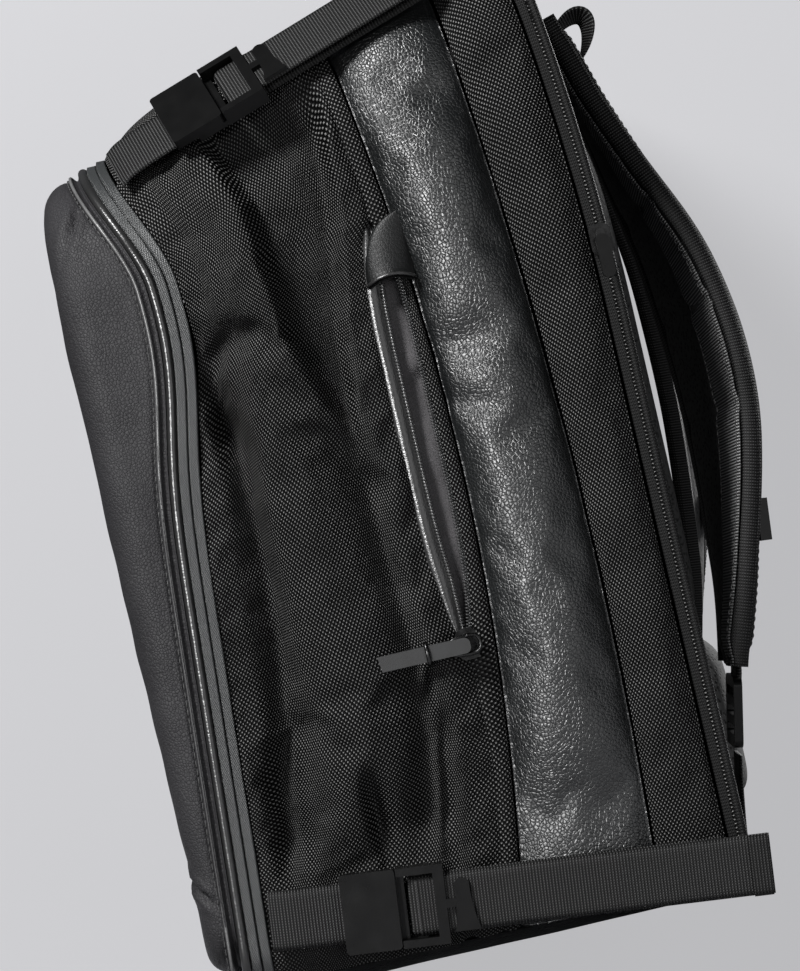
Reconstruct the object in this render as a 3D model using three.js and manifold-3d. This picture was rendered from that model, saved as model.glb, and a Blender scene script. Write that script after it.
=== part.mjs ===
// A nylon travel backpack with leather panels, built as separate sewn panels and fittings.
// Millimetres, +Z up. The front cover faces -Y, the wearer's back is at +Y and the wearer's right is +X.
// The origin is the middle of the flat base.
import * as THREE from 'three';
import { mergeVertices } from 'three/addons/utils/BufferGeometryUtils.js';
import Module from 'manifold-3d';

const wasm = await Module();
wasm.setup();

// ---------------------------------------------------------------- driving dimensions
const HALF_WIDTH = 143; // of the body at its seams
const BOTTOM_RADIUS = 26;
const TOP_RADIUS = 55;
const TOP_HEIGHT = 392; // above the origin
const TOP_SLOPE = 0.33; // the top rises towards the wearer
const SKIN = 3; // padded wall
const GAP = 0.5; // between neighbouring panels
const WEBBING = 25; // webbing width
const TAPE = 1.4; // zip tape thickness

const backpack = new THREE.Group();

// ---------------------------------------------------------------- seams, each a depth for a height
const SHOULDER_BOW = 7; // the main zip bows back below the top corners
const CORNER_SWEEP = 22; // and sweeps forward over them
const parting = (z) => -98 + 0.072 * z + SHOULDER_BOW * Math.exp(-(((z - 275) / 45) ** 2))
  - CORNER_SWEEP * THREE.MathUtils.smoothstep(z, 300, 372); // where the main zip parts
const coverRim = (z) => parting(z) - 9;
const mainFront = (z) => parting(z) + 4.4;
const bandFront = (z) => 30 - 18 * ((z - 200) / 190) ** 2;
const bandRear = (z) => 76 - 9 * ((z - 150) / 190) ** 2;
const rearEnd = (z) => 103 - 11 * (Math.max(0, z - 250) / 150) ** 2;
const topAt = (y) => TOP_HEIGHT + TOP_SLOPE * y;

// ---------------------------------------------------------------- materials
const makeMaterial = (color, roughness, metalness = 0) => () =>
  new THREE.MeshStandardMaterial({ color, roughness, metalness });
const nylon = makeMaterial(0x17181a, 0.75);
const pebbledLeather = makeMaterial(0x1c2122, 0.45);
const coverLeather = makeMaterial(0x3c3c40, 0.6);
const webbingCloth = makeMaterial(0x1b1b1c, 0.7);
const zipCloth = makeMaterial(0x2c2d30, 0.6);
const plastic = makeMaterial(0x222326, 0.5);
const blackNickel = makeMaterial(0x3a3a3c, 0.3, 0.9);
const rubber = makeMaterial(0x5a5b5e, 0.6);
const mesh3d = makeMaterial(0x101011, 0.9);
const liningCloth = makeMaterial(0x373437, 0.9);
const stiffBoard = makeMaterial(0x2a2a2c, 0.6);

// ---------------------------------------------------------------- solids from points
// Joins quads of points into one closed body with its faces pointing out.
function bodyFromQuads(quads) {
  const positions = [];
  const addTriangle = (a, b, c) => {
    const area = b.clone().sub(a).cross(c.clone().sub(a)).length();
    if (area > 1e-6) positions.push(...a.toArray(), ...b.toArray(), ...c.toArray());
  };
  for (const [a, b, c, d] of quads) {
    addTriangle(a, b, c);
    addTriangle(a, c, d);
  }
  const geometry = new THREE.BufferGeometry();
  geometry.setAttribute('position', new THREE.Float32BufferAttribute(positions, 3));
  return facingOut(mergeVertices(geometry, 1e-4));
}

function signedVolume(geometry) {
  const { position } = geometry.attributes;
  const index = geometry.index.array;
  const corner = (i) => new THREE.Vector3().fromBufferAttribute(position, index[i]);
  let total = 0;
  for (let i = 0; i < index.length; i += 3) total += corner(i).dot(corner(i + 1).cross(corner(i + 2)));
  return total / 6;
}

function facingOut(geometry) {
  if (signedVolume(geometry) > 0) return geometry;
  const { array } = geometry.index;
  for (let i = 0; i < array.length; i += 3) [array[i], array[i + 1]] = [array[i + 1], array[i]];
  return geometry;
}

// The same body on the other side of the middle plane.
function mirrored(geometry) {
  return facingOut(geometry.clone().applyMatrix4(new THREE.Matrix4().makeScale(-1, 1, 1)));
}

// Outward normal of a surface that is given as a function of two numbers.
function surfaceNormal(surface, u, v, outward) {
  const step = 1e-3;
  const alongU = surface(u + step, v).sub(surface(u - step, v));
  const alongV = surface(u, v + step).sub(surface(u, v - step));
  const normal = alongU.cross(alongV).normalize();
  return normal.dot(outward) < 0 ? normal.negate() : normal;
}

// A curved sheet: the surface between two depths below it, from..to in both directions.
function sheet({ surface, u, v, steps, depth = 0, thickness = SKIN, outward }) {
  const [uSteps, vSteps] = steps;
  const layer = (inset) => Array.from({ length: uSteps + 1 }, (_, i) =>
    Array.from({ length: vSteps + 1 }, (_unused, j) => {
      const a = THREE.MathUtils.lerp(u[0], u[1], i / uSteps);
      const b = THREE.MathUtils.lerp(v[0], v[1], j / vSteps);
      const point = surface(a, b);
      const normal = surfaceNormal(surface, a, b, outward ? outward(point) : bodyOutward(point));
      return point.addScaledVector(normal, -inset);
    }));
  return joinLayers(layer(depth), layer(depth + thickness));
}

// Closes two equal grids of points into one body.
function joinLayers(outer, inner) {
  const quads = [];
  const last = outer.length - 1;
  const end = outer[0].length - 1;
  for (let i = 0; i < last; i += 1) {
    for (let j = 0; j < end; j += 1) {
      quads.push([outer[i][j], outer[i + 1][j], outer[i + 1][j + 1], outer[i][j + 1]]);
      quads.push([inner[i][j], inner[i][j + 1], inner[i + 1][j + 1], inner[i + 1][j]]);
    }
    quads.push([outer[i + 1][0], outer[i][0], inner[i][0], inner[i + 1][0]]);
    quads.push([outer[i][end], outer[i + 1][end], inner[i + 1][end], inner[i][end]]);
  }
  for (let j = 0; j < end; j += 1) {
    quads.push([outer[0][j], outer[0][j + 1], inner[0][j + 1], inner[0][j]]);
    quads.push([outer[last][j + 1], outer[last][j], inner[last][j], inner[last][j + 1]]);
  }
  return bodyFromQuads(quads);
}

// A dish: rings of points that run round and shrink to a centre, as an outer and an inner skin.
function dish(outer, inner) {
  const quads = [];
  const count = outer[0].length;
  for (let j = 0; j < count; j += 1) {
    const k = (j + 1) % count;
    for (let i = 0; i < outer.length - 1; i += 1) {
      quads.push([outer[i][j], outer[i][k], outer[i + 1][k], outer[i + 1][j]]);
      quads.push([inner[i][j], inner[i + 1][j], inner[i + 1][k], inner[i][k]]);
    }
    quads.push([outer[0][k], outer[0][j], inner[0][j], inner[0][k]]);
  }
  return bodyFromQuads(quads);
}

// A flat outline pushed out to a thickness, as one body with merged corners.
function pushedOut(shape, depth, curveSegments = 4) {
  const geometry = new THREE.ExtrudeGeometry(shape, { depth, bevelEnabled: false, curveSegments });
  return positionsOnly(geometry);
}

function positionsOnly(geometry) {
  geometry.deleteAttribute('normal');
  geometry.deleteAttribute('uv');
  return facingOut(mergeVertices(geometry, 1e-4));
}

function roundedRectangle(width, height, radius) {
  const [x, y] = [width / 2, height / 2];
  const shape = new THREE.Shape();
  shape.moveTo(-x + radius, -y);
  shape.lineTo(x - radius, -y);
  shape.absarc(x - radius, -y + radius, radius, -Math.PI / 2, 0);
  shape.absarc(x - radius, y - radius, radius, 0, Math.PI / 2);
  shape.absarc(-x + radius, y - radius, radius, Math.PI / 2, Math.PI);
  shape.absarc(-x + radius, -y + radius, radius, Math.PI, 1.5 * Math.PI);
  return shape;
}

function block(x, y, z) {
  const geometry = new THREE.BoxGeometry(x[1] - x[0], y[1] - y[0], z[1] - z[0]);
  geometry.translate((x[0] + x[1]) / 2, (y[0] + y[1]) / 2, (z[0] + z[1]) / 2);
  return positionsOnly(geometry);
}

// A round cord along a curve.
function cord(points, radius, steps) {
  const curve = new THREE.CatmullRomCurve3(points.map(([x, y, z]) => new THREE.Vector3(x, y, z)));
  const round = new THREE.Shape().absarc(0, 0, radius, 0, 2 * Math.PI);
  const settings = { extrudePath: curve, steps, curveSegments: 4, bevelEnabled: false };
  return positionsOnly(new THREE.ExtrudeGeometry(round, settings));
}

// ---------------------------------------------------------------- joining and cutting
function toSolid(geometry) {
  return new wasm.Manifold(new wasm.Mesh({
    numProp: 3,
    vertProperties: new Float32Array(geometry.attributes.position.array),
    triVerts: new Uint32Array(geometry.index.array),
  }));
}

function fromSolid(solid) {
  const { vertProperties, triVerts } = solid.getMesh();
  const geometry = new THREE.BufferGeometry();
  geometry.setAttribute('position', new THREE.BufferAttribute(vertProperties, 3));
  geometry.setIndex(new THREE.BufferAttribute(triVerts, 1));
  return geometry;
}

const joined = (...pieces) => fromSolid(pieces.map(toSolid).reduce((all, piece) => all.add(piece)));
const cut = (piece, tool) => fromSolid(toSolid(piece).subtract(toSolid(tool)));

// ---------------------------------------------------------------- placing
function add(name, geometry, material, parent = backpack) {
  const mesh = new THREE.Mesh(geometry, material());
  mesh.name = name;
  parent.add(mesh);
  return mesh;
}

// A right piece and its mirror image on the left.
function addPair(name, geometry, material) {
  add(`${name}_right`, geometry, material);
  add(`${name}_left`, mirrored(geometry), material);
}

// ---------------------------------------------------------------- the body's skin
// A rounded outline in x and z. around runs 0..10: 0 is the middle of the bottom, 1..2 the lower right
// corner, 2..3 the right side, 3..4 the upper right corner, 5 the middle of the top, then back down.
function outline(around, halfWidth, bottom, top, lowRadius, highRadius) {
  const wrapped = THREE.MathUtils.euclideanModulo(around, 10);
  const station = wrapped > 5 ? 10 - wrapped : wrapped;
  const stretch = Math.min(4, Math.floor(station));
  const t = station - stretch;
  const turn = (t * Math.PI) / 2;
  const places = [
    () => [t * (halfWidth - lowRadius), bottom],
    () => [halfWidth - lowRadius + lowRadius * Math.sin(turn), bottom + lowRadius * (1 - Math.cos(turn))],
    () => [halfWidth, THREE.MathUtils.lerp(bottom + lowRadius, top - highRadius, t)],
    () => [halfWidth - highRadius * (1 - Math.cos(turn)), top - highRadius * (1 - Math.sin(turn))],
    () => [(1 - t) * (halfWidth - highRadius), top],
  ];
  const [x, z] = places[stretch]();
  return { x: wrapped > 5 ? -x : x, z };
}

// Lengths of the outline's stretches, used to space points evenly round it.
const QUARTER = Math.PI / 2;
const HALF_STRETCHES = [
  HALF_WIDTH - BOTTOM_RADIUS,
  QUARTER * BOTTOM_RADIUS,
  TOP_HEIGHT - TOP_RADIUS - BOTTOM_RADIUS,
  QUARTER * TOP_RADIUS,
  HALF_WIDTH - TOP_RADIUS,
];
const STRETCHES = [...HALF_STRETCHES, ...[...HALF_STRETCHES].reverse()];

// How far round the outline a place on it is, and the place that is so far round.
function lengthAt(around) {
  const stretch = Math.min(STRETCHES.length - 1, Math.floor(Math.abs(around)));
  const before = STRETCHES.slice(0, stretch).reduce((sum, length) => sum + length, 0);
  return Math.sign(around) * (before + (Math.abs(around) - stretch) * STRETCHES[stretch]);
}

function aroundAt(length) {
  let left = Math.abs(length);
  let stretch = 0;
  while (stretch < STRETCHES.length - 1 && left > STRETCHES[stretch]) {
    left -= STRETCHES[stretch];
    stretch += 1;
  }
  return Math.sign(length) * (stretch + left / STRETCHES[stretch]);
}

// A point of the skin on a seam line. The height and the depth depend on each other, so it settles twice.
function skinPoint(around, seam, swell = 0) {
  let y = seam(HALF_WIDTH);
  let place;
  for (let pass = 0; pass < 3; pass += 1) {
    place = outline(around, HALF_WIDTH + swell, 0, topAt(y) + swell, BOTTOM_RADIUS, TOP_RADIUS);
    y = seam(place.z);
  }
  return new THREE.Vector3(place.x, y, place.z);
}

const bodyOutward = (point) => new THREE.Vector3(point.x, 0, (point.z - 190) / 2);

// A panel between two seams, swelling in the middle, with a sewing gap all round.
function panel(from, to, around, swell, steps) {
  const depthAt = (t, z) => THREE.MathUtils.lerp(from(z) + GAP / 2, to(z) - GAP / 2, t);
  const surface = (length, t) =>
    skinPoint(aroundAt(length), (z) => depthAt(t, z), swell * Math.sin(Math.PI * t));
  return sheet({ surface, u: around.map(lengthAt), v: [0, 1], steps });
}

const SIDE = [1.504, 3.496]; // from half way round the lower corner to half way round the upper one
const TOP = [3.504, 6.496];
const BASE = [-1.496, 1.496];
const MAIN_SWELL = 5;
const BAND_SWELL = 4;
const REAR_SWELL = 3;

// How far out the main panel's right side stands at a depth and height.
function mainSideX(y, z) {
  const t = THREE.MathUtils.clamp((y - mainFront(z)) / (bandFront(z) - mainFront(z)), 0, 1);
  return HALF_WIDTH + MAIN_SWELL * Math.sin(Math.PI * t);
}

// ---------------------------------------------------------------- side pocket zip
const ZIP_Y = 16; // centre line of the side zip
const ZIP_ENDS = [1.6, 8.4]; // the long zips run from the lower corners over the top
const ZIP_LOW = 122;
const ZIP_HIGH = 308; // under the garage
const ZIP_GAPE = 9; // half of the mouth's width at its middle

// Half of the mouth's width at a height: a long oval, blunter at the top.
function zipGape(z) {
  const fromMiddle = THREE.MathUtils.clamp((2 * (z - ZIP_LOW)) / (ZIP_HIGH - ZIP_LOW) - 1, -1, 1);
  const bluntness = fromMiddle > 0 ? 6 : 3.5;
  return ZIP_GAPE * (1 - Math.abs(fromMiddle) ** bluntness);
}

// Turns a shape drawn in (y, z) and pushed out in x.
function acrossSide(geometry, x) {
  const basis = new THREE.Matrix4().makeBasis(
    new THREE.Vector3(0, 1, 0),
    new THREE.Vector3(0, 0, 1),
    new THREE.Vector3(1, 0, 0),
  );
  return geometry.applyMatrix4(basis).translate(x, 0, 0);
}

function zipMouth() {
  const bends = 14;
  const lip = (side) => Array.from({ length: bends + 1 }, (_, i) => {
    const z = THREE.MathUtils.lerp(ZIP_LOW, ZIP_HIGH, i / bends);
    return new THREE.Vector2(ZIP_Y + side * zipGape(z), z);
  });
  const shape = new THREE.Shape([...lip(1), ...lip(-1).reverse().slice(1, -1)]);
  return acrossSide(pushedOut(shape, 30), HALF_WIDTH - 15);
}

// A tape under the skin along one lip of the mouth: side is -1 for the front lip and +1 for the rear,
// and bare is how much of it shows inside the mouth.
function zipTape(side, bare) {
  const surface = (t, across) => {
    const z = THREE.MathUtils.lerp(ZIP_LOW - 4, ZIP_HIGH + 4, t);
    const inner = Math.max(0.4, zipGape(z) - bare);
    const y = ZIP_Y + side * THREE.MathUtils.lerp(inner, zipGape(z) + 3, across);
    return new THREE.Vector3(mainSideX(y, z) - SKIN - 0.6, y, z);
  };
  return sheet({ surface, u: [0, 1], v: [0, 1], steps: [20, 2], thickness: TAPE });
}

function addSideZip() {
  const liningDepth = 11;
  const lining = (t, across) => {
    const z = THREE.MathUtils.lerp(80, ZIP_HIGH + 6, t);
    const y = THREE.MathUtils.lerp(-60, 26, across);
    return new THREE.Vector3(mainSideX(y, z) - liningDepth, y, z);
  };
  add('side_zip_tape_front', zipTape(-1, 7), zipCloth);
  add('side_zip_tape_rear', zipTape(1, 1.5), zipCloth);
  add('side_pocket_lining', sheet({
    surface: lining, u: [0, 1], v: [0, 1], steps: [4, 4], thickness: 1.2,
  }), liningCloth);
  const garage = pushedOut(roundedRectangle(20, 30, 8), 3.6, 4);
  add('side_zip_garage', acrossSide(garage, HALF_WIDTH + 3.2).translate(0, ZIP_Y + 3, 297), pebbledLeather);
  addSlider('side_zip_slider', [HALF_WIDTH + 3.4, ZIP_Y, 129], new THREE.Euler());
  const tab = acrossSide(pushedOut(roundedRectangle(45, 6.5, 2.5), 3), HALF_WIDTH + 8.6);
  add('side_zip_pull', tab.translate(0, ZIP_Y - 21.5, 129), rubber);
}

// A slider: two wings joined by a narrower bridge, standing on x = 0 and running along z.
function addSlider(name, place, turn) {
  const wings = acrossSide(pushedOut(roundedRectangle(9, 13, 3), 2.4), 0);
  const bridge = acrossSide(pushedOut(roundedRectangle(3.4, 9, 1.4), 2.6), 2.2);
  const slider = add(name, joined(wings, bridge), blackNickel);
  slider.position.set(...place);
  slider.rotation.copy(turn);
}

function addRearZip() {
  const seam = (offset) => (z) => rearEnd(z) + offset;
  const surface = (length, t) =>
    skinPoint(aroundAt(length), seam(THREE.MathUtils.lerp(GAP, 4.4, t)));
  add('rear_zip_tape', sheet({
    surface, u: ZIP_ENDS.map(lengthAt), v: [0, 1], steps: [60, 1], depth: 1.4, thickness: TAPE,
  }), zipCloth);
  addSlider('rear_zip_slider', [HALF_WIDTH + 0.6, 107, 279], new THREE.Euler());
  const tab = acrossSide(pushedOut(roundedRectangle(5.5, 18, 2.4), 3), HALF_WIDTH + 5.9);
  add('rear_zip_pull', tab.translate(0, 107, 272), rubber);
}

const MAIN_SLIDER_X = -76;

function addMainZip() {
  const tape = (from, to) => {
    const surface = (length, t) =>
      skinPoint(aroundAt(length), (z) => parting(z) + THREE.MathUtils.lerp(from, to, t));
    const u = ZIP_ENDS.map(lengthAt);
    return sheet({ surface, u, v: [0, 1], steps: [80, 1], depth: 2.6, thickness: TAPE });
  };
  add('cover_zip_tape', tape(-4.4, -0.4), zipCloth);
  add('main_zip_tape', tape(0.4, 4), zipCloth);
  const height = topAt(parting(TOP_HEIGHT));
  const place = [MAIN_SLIDER_X, parting(height), height + 2];
  addSlider('main_zip_slider', place, new THREE.Euler(0, -Math.PI / 2, 0));
  const length = 28.4;
  const behindPivot = 1.2; // short enough to turn over the slider without touching it
  const tab = pushedOut(roundedRectangle(length, 6, 2.5), 3);
  tab.translate(MAIN_SLIDER_X - behindPivot + length / 2, parting(height), height + 7.3);
  add('main_zip_pull', tab, rubber);
}

// ---------------------------------------------------------------- front cover
const COVER_FACE = -119;
const COVER_BOTTOM = 14.5; // the base has a toe under it
const COVER_CROWN = 3;

// A ring of the cover. Its stage runs 0..1 along the wall, 1..2 round the edge and 2..3 over the face.
function coverPoint(around, stage, skin) {
  const edge = (z) => 9.5 + 0.022 * Math.min(z, 200);
  const faceSpread = Math.max(0, stage - 2);
  let place = { x: 0, z: 180 };
  let y = COVER_FACE;
  for (let pass = 0; pass < 3; pass += 1) {
    const radius = edge(place.z);
    const turn = THREE.MathUtils.clamp(stage - 1, 0, 1) * (Math.PI / 2);
    const inset = skin + (radius - skin) * (1 - Math.cos(turn));
    const top = topAt(stage < 1 ? y : COVER_FACE + radius) - 1;
    const low = Math.max(4, 24 - inset);
    const high = Math.max(4, TOP_RADIUS - inset);
    place = outline(around, HALF_WIDTH - inset, COVER_BOTTOM + inset, top - inset, low, high);
    const wallStart = coverRim(place.z);
    const wallEnd = COVER_FACE + radius;
    const face = COVER_FACE + radius - (radius - skin) * Math.sin(turn);
    y = stage < 1 ? THREE.MathUtils.lerp(wallStart, wallEnd, stage) : face;
  }
  const centre = { x: 0, z: 185 };
  const keep = 1 - faceSpread;
  const crown = COVER_CROWN * (1 - keep * keep);
  return new THREE.Vector3(
    place.x * keep,
    y - crown,
    THREE.MathUtils.lerp(centre.z, place.z, keep),
  );
}

function coverRings(stages, skin, count) {
  const whole = lengthAt(9.9999);
  return stages.map((stage) => Array.from({ length: count }, (_, j) =>
    coverPoint(aroundAt((j * whole) / count), stage, skin)));
}

function addFrontCover() {
  const stages = [0, 0.99, 1.35, 1.7, 2, 2.4, 2.75, 3];
  const points = 100;
  add('front_cover', dish(coverRings(stages, 0, points), coverRings(stages, SKIN, points)), coverLeather);
  const seam = (z) => parting(z) - 6.8;
  const [start, end] = ZIP_ENDS.map(lengthAt);
  const bends = 80;
  const path = Array.from({ length: bends + 1 }, (_, i) =>
    skinPoint(aroundAt(THREE.MathUtils.lerp(start, end, i / bends)), seam, -1).toArray());
  add('cover_piping', cord(path, 2, bends), pebbledLeather);
}

// ---------------------------------------------------------------- panels round the body
function addPanels() {
  const mainSide = panel(mainFront, bandFront, SIDE, MAIN_SWELL, [28, 8]);
  add('main_side_right', cut(mainSide, zipMouth()), nylon);
  add('main_side_left', mirrored(mainSide), nylon);
  add('main_top', panel(mainFront, bandFront, TOP, MAIN_SWELL, [20, 6]), nylon);
  addPair('leather_band', panel(bandFront, bandRear, SIDE, BAND_SWELL, [28, 6]), pebbledLeather);
  add('leather_band_top', panel(bandFront, bandRear, TOP, BAND_SWELL, [20, 6]), pebbledLeather);
  addPair('rear_side', panel(bandRear, rearEnd, SIDE, REAR_SWELL, [28, 4]), nylon);
  add('rear_top', panel(bandRear, rearEnd, TOP, REAR_SWELL, [20, 4]), nylon);
  const toe = pushedOut(roundedRectangle(244, 40, 14), 13.5);
  toe.translate(0, -91.2, 0);
  const toeBehind = block([-130, 130], [-84, -60], [3.5, 14]);
  const base = panel(mainFront, rearEnd, BASE, 0, [14, 4]);
  add('base_panel', joined(base, cut(toe, toeBehind)), pebbledLeather);
}

// ---------------------------------------------------------------- back
// A sheet standing behind the back panel: x and z ranges, how far behind the rear seam and how thick.
function behindBack(x, z, offset, thickness, steps) {
  const surface = (u, v) => new THREE.Vector3(u, rearEnd(v) + offset + thickness, v);
  return sheet({ surface, u: x, v: z, steps, thickness, outward: () => new THREE.Vector3(0, 1, 0) });
}

function addBack() {
  const keeps = [1, 0.66, 0.33, 0];
  const whole = lengthAt(9.9999);
  const points = 80;
  const ring = (keep, behind) => Array.from({ length: points }, (_, j) => {
    const edge = skinPoint(aroundAt((j * whole) / points), rearEnd, -1);
    const z = THREE.MathUtils.lerp(190, edge.z, keep);
    return new THREE.Vector3(edge.x * keep, rearEnd(z) + behind, z);
  });
  const rear = keeps.map((keep) => ring(keep, 8.2));
  const front = keeps.map((keep) => ring(keep, 5.2));
  add('back_panel', dish(rear, front), nylon);
  addPair('back_pad', behindBack([14, 118], [112, 330], 8.6, 5, [2, 8]), mesh3d);
  add('lumbar_pad', behindBack([-75, 75], [28, 100], 8.6, 14.5, [4, 2]), mesh3d);
  add('strap_yoke', behindBack([-88, 88], [386, 404], 8.6, 4, [4, 2]), nylon);
  const lean = THREE.MathUtils.degToRad(-38); // the loop stands up and away from the back
  const [loopWidth, loopLength, loopCloth] = [18, 38, 1.6];
  const oval = (shape, inset) => shape.absellipse(
    0, 0, loopWidth / 2 - inset, loopLength / 2 - inset, 0, 2 * Math.PI, false, lean,
  );
  const loop = oval(new THREE.Shape(), 0);
  loop.holes.push(oval(new THREE.Path(), loopCloth));
  add('hang_loop', acrossSide(pushedOut(loop, 12, 8), -6).translate(0, 121, 372), webbingCloth);
}

function addInsides() {
  const standing = (width, low, high, radius, y, thickness) => {
    const plate = pushedOut(roundedRectangle(width, high - low, radius), thickness);
    return plate.rotateX(Math.PI / 2).translate(0, y + thickness, (low + high) / 2);
  };
  add('laptop_divider', standing(262, 6, 396, 46, 74, 5), liningCloth);
  add('frame_sheet', standing(250, 10, 340, 20, 101, 1.6), stiffBoard);
  add('base_board', block([-110, 110], [-84, 70], [3.6, 5.6]), stiffBoard);
}

// ---------------------------------------------------------------- compression straps
// Each strap is drawn in its own frame: y runs back along it, x points away from the bag, z is across.
const PLATE_WIDTH = 33;
const PLATE_LENGTH = 23;
const WEB = 1.6; // webbing thickness

// A ribbon through points (along, out), as wide as asked.
function ribbon(points, thickness, width) {
  const path = points.map(([y, x]) => new THREE.Vector2(y, x));
  const side = (sign) => path.map((point, i) => {
    const before = path[Math.max(0, i - 1)];
    const after = path[Math.min(path.length - 1, i + 1)];
    const along = after.clone().sub(before).normalize();
    return new THREE.Vector2(-along.y, along.x).multiplyScalar((sign * thickness) / 2).add(point);
  });
  const shape = new THREE.Shape([...side(1), ...side(-1).reverse()]);
  const basis = new THREE.Matrix4().makeBasis(
    new THREE.Vector3(0, 1, 0),
    new THREE.Vector3(1, 0, 0),
    new THREE.Vector3(0, 0, -1),
  );
  return facingOut(pushedOut(shape, width).applyMatrix4(basis).translate(0, 0, width / 2));
}

// The outer half of the buckle, a flat plate with a slot for the webbing that ends under it.
function buckleCover(start) {
  const plate = roundedRectangle(PLATE_LENGTH, PLATE_WIDTH, 1.6);
  const solid = acrossSide(pushedOut(plate, 4.4, 3), 3.2);
  return solid.translate(0, start + PLATE_LENGTH / 2, 0);
}

// The inner half: a flat tongue, two rails, a bar for the webbing, an end bar and a tab to lift it by.
function buckleTongue(start) {
  const half = PLATE_WIDTH / 2;
  const inner = WEBBING / 2 + 0.7;
  const place = (y) => [start + y[0], start + y[1]];
  const rail = (sign) => {
    const z = sign > 0 ? [inner, half] : [-half, -inner];
    return block([0.3, 8], place([PLATE_LENGTH + 0.5, 43]), z);
  };
  const tab = new THREE.Shape(); // a small bell across the webbing, on a short neck
  tab.moveTo(start + 42, -1.8);
  tab.lineTo(start + 47, -1.8);
  tab.quadraticCurveTo(start + 47, -9, start + 45, -12);
  tab.lineTo(start + 56, -12);
  tab.quadraticCurveTo(start + 53, -2, start + 53, 8);
  tab.quadraticCurveTo(start + 50, 12, start + 47, 8);
  tab.lineTo(start + 47, 1.8);
  tab.lineTo(start + 42, 1.8);
  return joined(
    block([0.3, 2.8], place([10, PLATE_LENGTH + 3.5]), [-half + 0.5, half - 0.5]),
    rail(1),
    rail(-1),
    block([2.4, 4], place([30, 34]), [-inner - 0.5, inner + 0.5]),
    block([6.3, 8], place([38.5, 43]), [-half, half]),
    acrossSide(pushedOut(tab, 1.7, 5), 6.3),
  );
}

// The rear webbing: from its anchor under the bar, round it and back as a tail.
function rearWebbing(start, anchor, tailEnd) {
  const barFront = start + 30;
  return ribbon([
    [anchor, 1.1],
    [start + 33, 1.1],
    [barFront - 0.2, 1.3],
    [barFront - 1.3, 2.2],
    [barFront - 1.5, 3.2],
    [barFront - 1.3, 4.2],
    [barFront - 0.2, 5.1],
    [start + 33, 5.2],
    [tailEnd, 5.2],
  ], WEB, WEBBING);
}

// height is 'upper' or 'lower'; start is where the plate begins behind the front seam.
function addCompressionStrap(height, { place, slope, roll, start, anchor, tailEnd }) {
  const pieces = [
    ['front_webbing', ribbon([[0, 1.1], [start + 8.6, 1.5]], WEB, WEBBING), webbingCloth],
    ['buckle_plate', buckleCover(start), plastic],
    ['buckle_tongue', buckleTongue(start), plastic],
    ['rear_webbing', rearWebbing(start, anchor, tailEnd), webbingCloth],
  ];
  for (const side of ['right', 'left']) {
    const sign = side === 'right' ? 1 : -1;
    const strap = new THREE.Group();
    strap.position.set(sign * place[0], place[1], place[2]);
    strap.rotation.set(slope, -sign * roll, 0);
    backpack.add(strap);
    for (const [name, geometry, material] of pieces) {
      const shape = side === 'right' ? geometry : mirrored(geometry);
      add(`${height}_${name}_${side}`, shape, material, strap);
    }
  }
}

function addCompressionStraps() {
  addCompressionStrap('lower', {
    place: [HALF_WIDTH + MAIN_SWELL + 0.4, -86, 35],
    slope: THREE.MathUtils.degToRad(-6),
    roll: 0,
    start: 27,
    anchor: 182,
    tailEnd: 204,
  });
  const roll = Math.PI / 4;
  const reach = TOP_RADIUS + MAIN_SWELL * Math.SQRT2 + 0.8;
  const y = -80;
  addCompressionStrap('upper', {
    place: [
      HALF_WIDTH - TOP_RADIUS + reach * Math.cos(roll),
      y,
      topAt(y) - TOP_RADIUS + reach * Math.sin(roll),
    ],
    slope: Math.atan(TOP_SLOPE),
    roll,
    start: 24,
    anchor: 174,
    tailEnd: 148,
  });
}

// ---------------------------------------------------------------- carrying
// The shoulder strap's middle line, top to bottom: x, y, z and half width.
const strapLine = [
  [48, 110, 380, 31],
  [49, 117, 358, 33],
  [53, 130, 312, 34],
  [63, 143, 262, 33],
  [78, 146, 202, 31],
  [92, 136, 136, 27],
  [99, 125, 92, 22],
];
const PAD = 10;
const TWIST = THREE.MathUtils.degToRad(20); // each strap turns its outer edge away from the back
const twistAt = (t) => TWIST * Math.sin(Math.PI * THREE.MathUtils.clamp((t - 0.12) / 0.88, 0, 1)) ** 1.3;

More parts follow.
